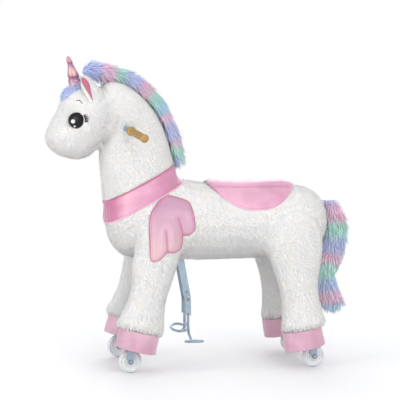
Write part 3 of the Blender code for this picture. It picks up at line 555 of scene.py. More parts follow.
def keepNear(skin, tree, reach, top):  # drops what lies further than reach from a form
    bm = bmesh.new()
    bm.from_mesh(skin.data)
    far = [v for v in bm.verts if v.co.z > top or tree.find_nearest(v.co, reach)[0] is None]
    bmesh.ops.delete(bm, geom=far, context="VERTS")
    bm.to_mesh(skin.data)
    bm.free()


def stuff(co, normal):
    moved = co.copy()
    for spot, reach, amount in stuffing["spots"]:
        moved += normal * amount * easy((co - spot).length, reach, 0)
    back, full, fading, gone = stuffing["frontEdges"]
    share = easy(co.x, back, full) * easy(co.x, gone, fading)
    moved += normal * float(np.interp(co.z, *zip(*stuffing["front"]))) * share
    moved.x += float(np.interp(co.z, *zip(*stuffing["brow"]))) * easy(co.x, *stuffing["browEdges"])
    return moved


neckSkin = closedSkin("neckSkin", "neck_plush")
swell(neckSkin, skinLook["shrink"])
bodySkin = copyNodes("bodySkin", "torso_plush", "head_plush")
pick(neckSkin, bodySkin)
bpy.ops.object.join()
remesh(bodySkin, skinLook["voxel"])
soften(bodySkin, skinLook["smoothing"])
swell(bodySkin, -skinLook["shrink"])
pressFolds(bodySkin)
moveVertices(bodySkin, stuff)

legFrames = {  # each pair of legs: its pivot, lean and body, and the hoof's place along and down it
    "front": {"pivot": Vector((-0.130, 0, 0.400)), "lean": math.radians(14.5), "forward": -0.006,
              "down": 0.28906, "body": "front_legs"},
    "rear": {"pivot": Vector((0.240, 0, 0.400)), "lean": math.radians(-10.8), "forward": 0.019,
             "down": 0.28911, "body": "rear_legs"},
}
trackHalf = 0.135  # from the middle plane to the middle of a leg


def legHeights(skin, end):  # the way down a leg, and how far each point lies above its skin's end
    down = Matrix.Rotation(legFrames[end]["lean"], 3, "Y") @ Vector((0, 0, -1))
    depths = [(v.co - legFrames[end]["pivot"]).dot(down) for v in skin.data.vertices]
    return down, [max(depths) - depth for depth in depths]


def stuffLeg(legSkin, end):  # a roll over the hoof, and a fuller corner under the chest
    down, heights = legHeights(legSkin, end)
    for v, above in zip(legSkin.data.vertices, heights):
        roll = math.exp(-((above - stuffing["cuffHeight"]) / stuffing["cuffRun"]) ** 2)
        flat = v.normal - down * v.normal.dot(down)
        v.co += flat * stuffing["cuff"] * roll
        corner = easy((v.co - stuffing["corner"]).length, stuffing["cornerReach"], 0)
        v.co.x -= stuffing["cornerFill"] * corner * max(0, -v.normal.x)
    legSkin.data.shade_smooth()
    setAll(legSkin, "fold", 0.0)


legNodes = [f"{end}_leg_plush_{side}" for end in legFrames for side in sides]
wholeSkin = closedSkin("wholeSkin", "torso_plush", *legNodes)
legSkins = {}
for end in legFrames:
    for side in sides:
        legSkins[end, side] = linked(f"{end}LegSkin_{side}", wholeSkin.data.copy())
        form = copyNodes("legForm", f"{end}_leg_plush_{side}")
        keepNear(legSkins[end, side], treeOf(form), skinLook["legReach"], skinLook["legTop"])
        drop(form)
        stuffLeg(legSkins[end, side], end)
drop(wholeSkin)


def shapeEar(co, normal):  # the ear leans to the front, wide near its tip and narrow at its foot
    share = easy(co.z, 0.770, 0.830)
    x = -0.300 + (co.x + 0.300) * 1.22
    middle = -0.318 - 0.010 * share
    if x < middle:
        x = middle + (x - middle) * (0.72 + 0.28 * share)
    return Vector((x - 0.0040 * share, co.y, co.z))


earSkins = {side: copyNodes(f"earSkin_{side}", f"ear_{side}") for side in sides}
for earSkin in earSkins.values():
    remesh(earSkin, 0.0025)
    soften(earSkin, 6)
    moveVertices(earSkin, shapeEar)
bodyTree = treeOf(bodySkin)
print("skins stuffed", len(bodySkin.data.polygons))


# Collar: a satin band laid round the foot of the neck

collarLook = {
    "middle": Vector((-0.174, 0, 0.505)), "tilt": math.radians(27.6), "width": 0.057, "lift": 0.003,
    "crown": 0.0028, "thickness": 0.0035, "around": 144, "rows": 9, "smoothing": 6,
    "ripple": 0.0016, "gather": 0.0015, "crease": 0.0022,
    "piping": (("low", 0, 0.0022, "trim"), ("high", -1, 0.00154, "seam")),
}
collarUp = Vector((-math.sin(collarLook["tilt"]), 0, math.cos(collarLook["tilt"])))


def makeCollar():
    middle, tilt = collarLook["middle"], collarLook["tilt"]
    rows, around = collarLook["rows"], collarLook["around"]
    forward = Vector((math.cos(tilt), 0, math.sin(tilt)))
    angles = [math.tau * step / around for step in range(around)]
    outs = [forward * math.cos(angle) + Vector((0, math.sin(angle), 0)) for angle in angles]
    offsets = [(row / (rows - 1) - 0.5) * collarLook["width"] for row in range(rows)]
    depth = np.zeros((rows, around))
    for row, offset in enumerate(offsets):
        for step, out in enumerate(outs):
            hit = bodyTree.ray_cast(middle + collarUp * offset + out * 0.5, -out)[0]
            depth[row, step] = (hit - middle).dot(out) if hit else 0.13
    for _ in range(collarLook["smoothing"]):
        depth = (depth + np.roll(depth, 1, 1) + np.roll(depth, -1, 1)) / 3
    rings, shades = [], []
    for row, offset in enumerate(offsets):
        edge = abs(row / (rows - 1) - 0.5) * 2
        # painted shade: darker along the top edge under the fur, and along the bottom edge
        shade = 0.7 if row == rows - 1 else 0.45 if row == 0 else 0
        rings.append([])
        for step, out in enumerate(outs):
            front = max(0, -out.x) ** 3
            gather = math.sin(step * 1.9 + row * 0.25) * front
            crease = noise.noise(Vector((step * 0.16 + row * 0.5, row * 0.3, 4)))
            fold = collarLook["ripple"] * noise.noise(Vector((step * 0.35, row * 0.12, 0)))
            fold += collarLook["gather"] * gather + collarLook["crease"] * crease
            # more painted shade at the front, deepest in the folds between the gathers
            shades.append(max(0, 0.55 * front * (0.45 - 0.55 * gather)) + shade)
            reach = depth[row][step] + collarLook["lift"] + collarLook["crown"] * (1 - edge ** 3) + fold
            rings[-1].append(middle + collarUp * offset + out * reach)
    band = gridMesh("collarBand", rings, closed=True)
    setValues(band, "rim", shades)
    outward(band)
    shape(band, "SOLIDIFY", thickness=collarLook["thickness"], offset=-1)
    shape(band, "SUBSURF", levels=1, render_levels=1)
    seat(band, "body", satin["collar"], "pink_satin", "chest_collar")
    for name, row, radius, look in collarLook["piping"]:
        pipe = cordMesh(f"collarPiping_{name}", rings[row], radius, closed=True, steps=8)
        seat(pipe, "body", satin[look], "pink_satin")
    return band


collarBand = makeCollar()
print("collar laid")


# Wings: quilted pads sewn on the shoulders

wingLook = {  # seen from the side: the outline from the top round the front, and two seams
    "outline": [(-0.1180, 0.5040), (-0.1430, 0.4812), (-0.1625, 0.4562), (-0.1700, 0.4253),
                (-0.1705, 0.3800), (-0.1700, 0.3240), (-0.1640, 0.3180), (-0.1500, 0.3200),
                (-0.1360, 0.3290), (-0.1214, 0.3450), (-0.1120, 0.3412), (-0.0940, 0.3420),
                (-0.0800, 0.3500), (-0.0745, 0.3650), (-0.0745, 0.3930), (-0.0640, 0.3890),
                (-0.0520, 0.3910), (-0.0420, 0.4010), (-0.0381, 0.4130), (-0.0418, 0.4460),
                (-0.0500, 0.4810), (-0.0667, 0.4900), (-0.0950, 0.4985)],
    "seams": [[(-0.1247, 0.4030), (-0.1214, 0.3450)], [(-0.0865, 0.4373), (-0.0745, 0.3930)]],
    "lift": 0.0050, "puff": 0.0070, "puffWidth": 0.012, "voxel": 0.0022, "grooveWidth": 0.0022,
    "back": 0.001, "piping": 0.0017, "pipingLift": 0.0035, "away": 0.14,
}


def makeWing(side, sign, tree):
    outline = wingLook["outline"]
    wing = curveMesh(f"wingPad_{side}", [(x, z, 0) for x, z in outline], True, dimensions="2D",
                     fill_mode="BOTH", extrude=0.004)
    wing.data.transform(Matrix.Rotation(math.pi / 2, 4, "X"))
    remesh(wing, wingLook["voxel"])
    soften(wing, 4)
    wingGrooveShades = []
    for v in wing.data.vertices:
        x, z = v.co.x, v.co.z
        hit = fromSide(tree, x, z, sign)[0]
        ground = hit.y if hit else sign * wingLook["away"]
        edge = distanceToLine(x, z, outline + outline[:1])
        seam = min(distanceToLine(x, z, line) for line in wingLook["seams"])
        puff = wingLook["puff"] * (1 - math.exp(-min(edge, seam * 1.25) / wingLook["puffWidth"]))
        groove = math.exp(-((min(edge, seam) - 0.0006) / wingLook["grooveWidth"]) ** 2)
        outer = v.co.y * sign > 0
        # painted shade in the quilted grooves and along the edge
        wingGrooveShades.append(groove if outer else 0)
        v.co.y = ground + sign * (wingLook["lift"] + puff if outer else wingLook["back"])
    setValues(wing, "rim", wingGrooveShades)
    soften(wing, 2)
    outward(wing)
    seat(wing, "body", satin["wing"], "pink_satin", f"wing_{side}")
    edge = []
    for x, z in dotted(outline, 4):
        hit = fromSide(tree, x, z, sign)[0]
        y = hit.y + sign * wingLook["pipingLift"] if hit else sign * wingLook["away"]
        edge.append(Vector((x, y, z)))
    for _ in range(3):
        edge = [(edge[i - 1] + edge[i] * 2 + edge[(i + 1) % len(edge)]) / 4 for i in range(len(edge))]
    pipe = cordMesh(f"wingPiping_{side}", edge, wingLook["piping"], closed=True)
    seat(pipe, "body", satin["seam"], "pink_satin")
    return wing


sideForm = closedSkin("sideForm", "torso_plush", "front_leg_plush_left", "front_leg_plush_right")
soften(sideForm, 30)
sideTree = treeOf(sideForm)
drop(sideForm)
wings = {side: makeWing(side, sign, sideTree) for side, sign in sides.items()}
print("wings sewn")


# Stitches: one short thread after the other along a line

stitchLook = {
    "long": 0.0038, "gap": 0.0022, "radius": 0.0005, "inside": 0.0060, "lift": 0.0003, "steps": 5,
    "rings": ((-0.5, 0.35), (-0.25, 1.0), (0.25, 1.0), (0.5, 0.35)),
}


def sewStitches(name, points):
    verts, faces, run = [], [], 0.0
    long, steps, rings = stitchLook["long"], stitchLook["steps"], stitchLook["rings"]
    for a, b in zip(points, points[1:]):
        length = (b - a).length
        if length < 1e-6:
            continue
        along = (b - a) / length
        side = along.orthogonal().normalized()
        other = along.cross(side)
        while run < length:
            middle = a + along * run
            start = len(verts)
            for place, size in rings:
                for step in range(steps):
                    angle = math.tau * step / steps
                    out = side * math.cos(angle) + other * math.sin(angle)
                    verts.append(middle + along * long * place + out * stitchLook["radius"] * size)
            for ring in range(len(rings) - 1):
                for step in range(steps):
                    low, after = start + ring * steps + step, start + ring * steps + (step + 1) % steps
                    faces.append((low, after, after + steps, low + steps))
            faces.append([start + step for step in reversed(range(steps))])
            faces.append([start + (len(rings) - 1) * steps + step for step in range(steps)])
            run += long + stitchLook["gap"]
        run -= length
    mesh = bpy.data.meshes.new(name)
    mesh.from_pydata(verts, [], faces)
    seat(outward(linked(name, mesh)), "body", satin["seam"], "pink_satin")


def insetRing(points, inside):  # a closed outline drawn in by a small distance
    count = len(points)
    area = sum(points[i - 1][0] * points[i][1] - points[i][0] * points[i - 1][1] for i in range(count))
    turn = 1 if area > 0 else -1
    ring = []
    for i in range(count):
        (ax, az), (bx, bz) = points[i - 1], points[(i + 1) % count]
        length = math.hypot(bx - ax, bz - az)
        ring.append((points[i][0] - turn * (bz - az) / length * inside,
                     points[i][1] + turn * (bx - ax) / length * inside))
    return ring


for side, sign in sides.items():
    wingTree = treeOf(wings[side])
    ring = insetRing(wingLook["outline"], stitchLook["inside"])
    hits = [fromSide(wingTree, x, z, sign)[0] for x, z in dotted(ring, 3)]
    sewStitches(f"wingStitches_{side}", [hit + Vector((0, sign * stitchLook["lift"], 0))
                                         for hit in hits if hit])


# Saddle: a padded seat laid over the back, wide in its middle

saddleLook = {
    "front": 0.020, "back": 0.270, "axle": 0.420, "along": 66, "across": 72, "reach": 1.28,
    "corners": 2.6, "edge": 0.003, "seat": 0.013, "soft": 0.10, "flap": 0.62, "flapRun": 0.10,
    "channel": 0.62, "channelWidth": 0.028, "channelDepth": 0.0045, "stitches": 0.055,
    "thickness": 0.006, "piping": 0.0028,
}


def overBack(tree, x, angle):  # where a line down to the back meets a surface, and the way out there
    out = Vector((0, math.sin(angle), math.cos(angle)))
    return tree.ray_cast(Vector((x, 0, saddleLook["axle"])) + out * 0.4, -out)[0], out


def makeSaddle():
    look = saddleLook
    along, across = look["along"], look["across"]
    places = [look["front"] + (look["back"] - look["front"]) * row / along for row in range(along + 1)]
    rows, channelShades = [], []
    for row, x in enumerate(places):
        share = abs(2 * row / along - 1)
        half = look["reach"] * max(0.02, 1 - share ** look["corners"]) ** 0.5
        rows.append([])
        for step in range(across + 1):
            turn = 2 * step / across - 1
            angle = half * turn
            hit, out = overBack(bodyTree, x, angle)
            inward = min(1 - abs(turn), (1 - share) * 1.3)
            puff = 1 - math.exp(-inward / look["soft"])
            flap = 1 / (1 + math.exp((abs(angle) - look["flap"]) / look["flapRun"]))
            channel = math.exp(-((abs(angle) - look["channel"]) / look["channelWidth"]) ** 2) * puff
            rise = look["edge"] + look["seat"] * puff * (0.42 + 0.58 * flap)
            rows[-1].append(hit + out * (rise - look["channelDepth"] * channel))
            # painted shade in the pressed channel
            channelShades.append(channel)
    pad = gridMesh("saddlePad", rows)
    setValues(pad, "rim", channelShades)
    pad.data.shade_smooth()
    shape(pad, "SMOOTH", iterations=3, factor=0.4)
    shape(pad, "SOLIDIFY", thickness=look["thickness"], offset=-1)
    outward(pad)
    seat(pad, "body", satin["saddle"], "pink_satin", "saddle")
    ring = [row[0] for row in rows] + rows[-1][1:]
    ring += [row[-1] for row in reversed(rows)][1:] + rows[0][-2:0:-1]
    pipe = cordMesh("saddlePiping", ring, look["piping"], closed=True, steps=8)
    seat(pipe, "body", satin["trim"], "pink_satin")
    padTree = treeOf(pad)
    for side, sign in sides.items():
        hits = [overBack(padTree, x, sign * (look["channel"] + look["stitches"])) for x in places[6:-6]]
        sewStitches(f"saddleStitches_{side}", [hit + out * stitchLook["lift"] for hit, out in hits if hit])
    return pad


saddlePad = makeSaddle()
print("saddle laid")


# Hoofs: satin-covered cups, one modelled and copied

hoofLook = {"length": 0.120, "width": 0.104, "height": 0.056, "wall": 0.005, "recess": 0.027,
            "topInset": 0.03, "flare": 0.035, "round": 0.0022}


def makeHoof():
    hoof = primitive(bpy.ops.mesh.primitive_cylinder_add, "hoofModel", vertices=72, radius=0.5, depth=1)
    bpy.ops.object.mode_set(mode="EDIT")
    pickFaces(hoof, lambda face: face.normal.z < -0.9)
    bpy.ops.mesh.inset(thickness=hoofLook["wall"] / hoofLook["length"])
    bpy.ops.mesh.extrude_region_move(TRANSFORM_OT_translate={
        "value": (0, 0, hoofLook["recess"] / hoofLook["height"])})
    pickFaces(hoof, lambda face: face.normal.z > 0.9 and face.calc_center_median().z > 0.4)
    bpy.ops.mesh.inset(thickness=hoofLook["topInset"])
    bpy.ops.object.mode_set(mode="OBJECT")
    for v in hoof.data.vertices:
        flare = 1 - hoofLook["flare"] * (v.co.z + 0.5)
        v.co = Vector((v.co.x * hoofLook["length"] * flare, v.co.y * hoofLook["width"] * flare,
                       v.co.z * hoofLook["height"]))
    return shape(hoof, "BEVEL", width=hoofLook["round"], segments=3, limit_method="ANGLE",
                 angle_limit=0.6)


hoofModel = makeHoof()
hoofs = []
for end, leg in legFrames.items():
    for side, sign in sides.items():
        hoof = linked(f"hoofCuff_{end}_{side}", hoofModel.data.copy())
        turn = Matrix.Translation(leg["pivot"]) @ Matrix.Rotation(leg["lean"], 4, "Y")
        hoof.data.transform(turn @ Matrix.Translation(
            (-leg["forward"], sign * trackHalf, -leg["down"] - hoofLook["height"] / 2)))
        seat(outward(hoof), leg["body"], satin["hoof"], "pink_satin", f"{end}_hoof_{side}")
        hoofs.append(hoof)
drop(hoofModel)
print("hoofs covered")


# Horn: a cone in padded rings that wind up it

hornLook = {
    "foot": Vector((-0.3588, 0, 0.796)), "lean": math.radians(-12.8), "height": 0.1055,
    "radii": [(0.0, 0.0160), (0.15, 0.0172), (0.32, 0.0180), (0.37, 0.0172), (0.47, 0.0163),
              (0.55, 0.0146), (0.64, 0.0116), (0.72, 0.0090), (0.77, 0.0084), (0.83, 0.0086),
              (0.90, 0.0072), (0.96, 0.0053), (1.0, 0.0034)],
    "turns": 2.53, "start": 0.023, "tilt": 0.06, "groove": 0.20, "bend": -0.0030, "round": 0.94,
    "cuts": 64,
}


def makeHorn():
    look = hornLook
    horn = primitive(bpy.ops.mesh.primitive_cylinder_add, "hornSpiral", vertices=40, radius=1, depth=1)
    bpy.ops.object.mode_set(mode="EDIT")
    for cut in range(1, look["cuts"]):
        bpy.ops.mesh.select_all(action="SELECT")
        bpy.ops.mesh.bisect(plane_co=(0, 0, -0.5 + cut / look["cuts"]), plane_no=(0, 0, 1))
    bpy.ops.object.mode_set(mode="OBJECT")
    hornGrooveShades, sideShadesAndDarkTip, rises = [], [], []
    for v in horn.data.vertices:
        share = v.co.z + 0.5
        around = math.cos(math.atan2(v.co.y, v.co.x))
        phase = (share * look["turns"] + look["tilt"] * around + look["start"]) % 1
        rises.append(phase)
        deep = abs(2 * phase - 1) ** 9
        # painted shade in the grooves, and on the horn's sides, darker towards the tip
        hornGrooveShades.append(0.85 * deep ** 2)
        sideShadesAndDarkTip.append(max(0.60 * abs(around) ** 2.5, 0.6 * easy(share, 0.80, 1.0)))
        tip = math.sqrt(max(0, 1 - max(0, (share - look["round"]) / (1 - look["round"])) ** 2))
        size = float(np.interp(share, *zip(*look["radii"]))) * (1 - look["groove"] * deep) * max(tip, 0.02)
        bend = look["bend"] * max(0, share - 0.55) ** 2 / 0.2
        length = math.hypot(v.co.x, v.co.y)
        size = size / length if length > 0.001 else 0
        v.co = Vector((v.co.x * size + bend, v.co.y * size, share * look["height"]))
    horn.data.transform(Matrix.Translation(look["foot"]) @ Matrix.Rotation(look["lean"], 4, "Y"))
    for name, values in (("groove", hornGrooveShades), ("sideShadeAndDarkTip", sideShadesAndDarkTip), ("rise", rises)):
        setValues(horn, name, values)
    return seat(outward(horn), "body", hornFoil, "horn_foil", "horn")


hornSpiral = makeHorn()
print("horn turned")


# Eyes, lashes and brows

facePlaces = {
    "eye": Vector((-0.3668, 0.0760, 0.7146)), "eyeTurn": math.radians(17),
    "eyeSize": (0.054, 0.024, 0.0465), "lift": 0.0045, "lash": 0.0016, "lashTaper": [1.2, 1.0, 0.4],
    "brow": 0.0012, "browTaper": [0.4, 0.9, 1.1, 0.9, 0.5],
}
lashLook = [  # each lash from the rim outward, as X and Z
    [(-0.3480, 0.7265), (-0.3430, 0.7290), (-0.3400, 0.7330)],
    [(-0.3450, 0.7235), (-0.3400, 0.7252), (-0.3355, 0.7288)],
    [(-0.3435, 0.7200), (-0.3380, 0.7208), (-0.3325, 0.7232)],
    [(-0.3430, 0.7165), (-0.3375, 0.7163), (-0.3320, 0.7172)],
    [(-0.3435, 0.7130), (-0.3385, 0.7118), (-0.3340, 0.7112)],
    [(-0.3455, 0.7265), (-0.3432, 0.7190), (-0.3440, 0.7080)],
]
browLook = [(-0.3665, 0.7680), (-0.3625, 0.7706), (-0.3580, 0.7702), (-0.3535, 0.7668), (-0.3495, 0.7605)]


def sewThread(name, line, sign, radius, taper):  # a thread that lies on the head
    hits = [fromSide(bodyTree, x, z, sign) for x, z in line]
    points = [hit + normal * facePlaces["lift"] for hit, normal in hits]
    seat(cordMesh(name, points, radius, taper=taper), "body", threadBlack, "eye_black")
    return points


eyes, threadSpots = [], []
for side, sign in sides.items():
    eye = primitive(bpy.ops.mesh.primitive_uv_sphere_add, f"eyeDome_{side}", segments=48,
                    ring_count=24, radius=0.5)
    x, y, z = facePlaces["eye"]
    turn = Matrix.Translation((x, sign * y, z)) @ Matrix.Rotation(-sign * facePlaces["eyeTurn"], 4, "Z")
    eye.data.transform(turn @ Matrix.Diagonal((*facePlaces["eyeSize"], 1)))
    eyes.append(seat(outward(eye), "body", eyeGloss, "eye_black", f"eye_{side}"))
    for index, lash in enumerate(lashLook):
        threadSpots += sewThread(f"eyelash_{side}_{index + 1}", lash, sign, facePlaces["lash"],
                                 facePlaces["lashTaper"])
    threadSpots += sewThread(f"brow_{side}", browLook, sign, facePlaces["brow"],
                             facePlaces["browTaper"])
print("eyes set")


# Ears with their satin leaves

earLook = {"foot": (-0.3210, 0.7680), "top": (-0.3490, 0.8350), "half": 0.0086, "lift": 0.0028,
           "rows": 18, "columns": 8, "thickness": 0.0012}
earLeaves = {}
for side, sign in sides.items():
    earTree = treeOf(earSkins[side])
    (footX, footZ), (topX, topZ) = earLook["foot"], earLook["top"]
    rows = []
    for row in range(earLook["rows"] + 1):
        share = row / earLook["rows"]
        half = earLook["half"] * math.sin(math.pi * (0.03 + 0.94 * share) ** 2.2) ** 0.7
        rows.append([])
        for step in range(earLook["columns"] + 1):
            x = footX + (topX - footX) * share + half * (2 * step / earLook["columns"] - 1)
            hit, normal = fromSide(earTree, x, footZ + (topZ - footZ) * share, sign)
            rows[-1].append(hit + normal * earLook["lift"] if hit else None)
    leaf = outward(gridMesh(f"earLeaf_{side}", rows))
    shape(leaf, "SOLIDIFY", thickness=earLook["thickness"], offset=0)
    shape(leaf, "SUBSURF", levels=1, render_levels=1)
    earLeaves[side] = seat(leaf, "body", satin["ear"], "pink_satin")
print("ears lined")


# Wheels: a tyre and a drilled hub, modelled once and copied

wheelLook = {
    "radius": 0.033, "width": 0.024, "wall": 0.0075, "crown": 0.17, "rings": (-0.38, -0.2, 0, 0.2, 0.38),
    "hub": 0.0245, "hubWidth": 0.8, "holes": 12, "holeRing": 0.0140, "hole": 0.0015, "smooth": 0.7,
    "hubSteps": ((0.004, 0), (0.0015, -0.0025), (0.0075, 0), (0.0012, 0.0022)),
}
wheelCentres = {"front": (-0.22491, 0.033), "rear": (0.31001, 0.033)}


def makeTyre():
    width = wheelLook["width"]
    tyre = primitive(bpy.ops.mesh.primitive_cylinder_add, "tyreModel", vertices=72,
                     radius=wheelLook["radius"], depth=width, end_fill_type="NOTHING")
    bpy.ops.object.mode_set(mode="EDIT")
    for level in wheelLook["rings"]:
        bpy.ops.mesh.select_all(action="SELECT")
        bpy.ops.mesh.bisect(plane_co=(0, 0, level * width), plane_no=(0, 0, 1))
    bpy.ops.object.mode_set(mode="OBJECT")
    for v in tyre.data.vertices:
        size = 1 - wheelLook["crown"] * (abs(v.co.z) / (width / 2)) ** 2.6
        v.co = Vector((v.co.x * size, v.co.y * size, v.co.z))
    shape(tyre, "SOLIDIFY", thickness=wheelLook["wall"], offset=-1)
    return shape(tyre, "BEVEL", width=0.001, segments=2, limit_method="ANGLE", angle_limit=0.7)


def makeHub():
    hub = primitive(bpy.ops.mesh.primitive_cylinder_add, "hubModel", vertices=72,
                    radius=wheelLook["hub"], depth=wheelLook["width"] * wheelLook["hubWidth"])
    bpy.ops.object.mode_set(mode="EDIT")
    for direction in (1, -1):
        pickFaces(hub, lambda face: face.normal.z * direction > 0.9)
        for inset, depth in wheelLook["hubSteps"]:
            bpy.ops.mesh.inset(thickness=inset, depth=depth)
    bpy.ops.object.mode_set(mode="OBJECT")
    drills = []
    for index in range(wheelLook["holes"]):
        angle = math.tau * index / wheelLook["holes"]
        place = Vector((math.cos(angle), math.sin(angle), 0)) * wheelLook["holeRing"]
        drills.append(primitive(bpy.ops.mesh.primitive_cylinder_add, "drill", vertices=12,
                                radius=wheelLook["hole"], depth=0.05, location=place))
    pick(*drills)
    bpy.ops.object.join()
    drill = bpy.context.object
    bpy.ops.object.transform_apply(location=True, rotation=True, scale=True)
    shape(hub, "BOOLEAN", object=drill, operation="DIFFERENCE")
    drop(drill)
    return hub


wheelModels = (("Tyre", makeTyre(), milkyTyre), ("Hub", makeHub(), milkyHub))
for end, (x, z) in wheelCentres.items():
    for side, sign in sides.items():
        for name, model, material in wheelModels:
            piece = linked(f"wheel{name}_{end}_{side}", model.data.copy())
            turn = Matrix.Translation((x, sign * trackHalf, z)) @ Matrix.Rotation(math.pi / 2, 4, "X")
            piece.data.transform(turn)
            pick(outward(piece))
            bpy.ops.object.shade_smooth_by_angle(angle=wheelLook["smooth"])
            seat(piece, f"{end}_wheel_{side}", material, "milky_plastic",
                 f"{end}_wheel_{name.lower()}_{side}")
for _, model, _ in wheelModels:
    drop(model)
print("wheels built")


# Carried-over steel parts and grips

for nodeName, node in cadNodes.items():
    if not node.hide_render:
        finish = gripGold if "grip" in nodeName else boltSteel if "bolt" in nodeName else steelPaint
        for slot in node.material_slots:
            slot.material = finish


# Bolt heads, washers and rings on the steel parts

fastenerLook = {
    "lever": (-0.0448, 0.0285, 0.2129), "joint": (-0.0400, 0.0330, 0.1910),
    "plate": (-0.0405, 0.0330, 0.1500), "head": 0.0040, "height": 0.0024,
    "jointWasher": (0.0074, 0.0013), "plateWasher": (0.0050, 0.00091),
    "axleFace": 0.1563, "axleRing": (0.0052, 0.0012),
}


def makeWasher(name, centre, ring, thread, body, material, slotName):
    washer = primitive(bpy.ops.mesh.primitive_torus_add, name, major_segments=32, minor_segments=10,
                       major_radius=ring, minor_radius=thread)
    washer.data.transform(Matrix.Translation(centre) @ Matrix.Rotation(math.pi / 2, 4, "X"))
    seat(outward(washer), body, material, slotName)


def makeBoltHead(name, centre, sign, body):
    radius, height = fastenerLook["head"], fastenerLook["height"]
    x, y, z = centre
    head = primitive(bpy.ops.mesh.primitive_cylinder_add, name, vertices=6, radius=radius, depth=height)
    bpy.ops.object.mode_set(mode="EDIT")
    pickFaces(head, lambda face: face.normal.z > 0.9)
    bpy.ops.mesh.inset(thickness=radius * 0.35)
    bpy.ops.mesh.extrude_region_move(TRANSFORM_OT_translate={"value": (0, 0, -height * 0.4)})
    bpy.ops.object.mode_set(mode="OBJECT")
    shape(head, "BEVEL", width=radius * 0.08, segments=2, limit_method="ANGLE", angle_limit=0.6)
    place = Matrix.Translation((x, sign * (y + height / 2), z))
    head.data.transform(place @ Matrix.Rotation(-sign * math.pi / 2, 4, "X"))
    pick(outward(head))
    bpy.ops.object.shade_smooth_by_angle(angle=0.6)
    seat(head, body, boltSteel, "dark_steel")


for side, sign in sides.items():
    makeBoltHead(f"leverBolt_{side}", fastenerLook["lever"], sign, "pedal_levers")
    makeBoltHead(f"plateBolt_{side}", fastenerLook["plate"], sign, "pedal_hanger")
    for spot in ("joint", "plate"):
        x, y, z = fastenerLook[spot]
        makeWasher(f"{spot}Washer_{side}", (x, sign * y, z), *fastenerLook[f"{spot}Washer"],
                   "pedal_hanger", nylonWhite, "steel")
    for end, (x, z) in wheelCentres.items():
        carrier = f"front_fork_{side}" if end == "front" else "rear_legs"
        makeWasher(f"axleRing_{end}_{side}", (x, sign * fastenerLook["axleFace"], z),
                   *fastenerLook["axleRing"], carrier, boltSteel, "dark_steel")
print("fasteners set")


# Fur: one lock is modelled, then planted all over a skin

def makeLock(name, length, radius, bend, steps, taper):
    lock = primitive(bpy.ops.mesh.primitive_circle_add, name, vertices=3, radius=radius)
    bpy.ops.object.mode_set(mode="EDIT")
    bpy.ops.mesh.select_all(action="SELECT")
    size = 1
    for step in range(1, steps + 1):
        share = step / steps
        reach = bend * length * (share ** 2 - ((step - 1) / steps) ** 2)
        bpy.ops.mesh.extrude_region_move(TRANSFORM_OT_translate={"value": (reach, 0, length / steps)})
        after = (1 - share ** taper) if step < steps else 0.01
        centre = (bend * length * share ** 2, 0, length * share)
        bpy.ops.transform.resize(value=(after / size,) * 3, center_override=centre)
        size = after
    bpy.ops.mesh.merge(type="CENTER")
    bpy.ops.object.mode_set(mode="OBJECT")
    setValues(lock, "tip", [v.co.z / length for v in lock.data.vertices])
    outward(lock)
    lock.hide_render = True
    return lock


def roomOn(skin, blockers, clear):  # for each point, 1 where fur can stand and 0 where something is near
    tree = treeOf(*blockers)
    hits = [tree.ray_cast(v.co + v.normal * 0.0006, v.normal, clear)[0] for v in skin.data.vertices]
    return [0.0 if hit else 1.0 for hit in hits]


def keepRoom(skin, rooms, test):
    setValues(skin, "room", [room if test(v.co) else 0.0
                             for v, room in zip(skin.data.vertices, rooms)])


def layFur(skin, rise, lay, sweep):  # the way each lock grows: up off the skin, and along a sweep
    flows = []
    for v in skin.data.vertices:
        along = sweep(v.co, v.normal)
        tangent = (along - v.normal * along.dot(v.normal)).normalized()
        flows.append(tuple((v.normal * rise + tangent * lay).normalized()))
    setValues(skin, "flow", flows, "FLOAT_VECTOR")


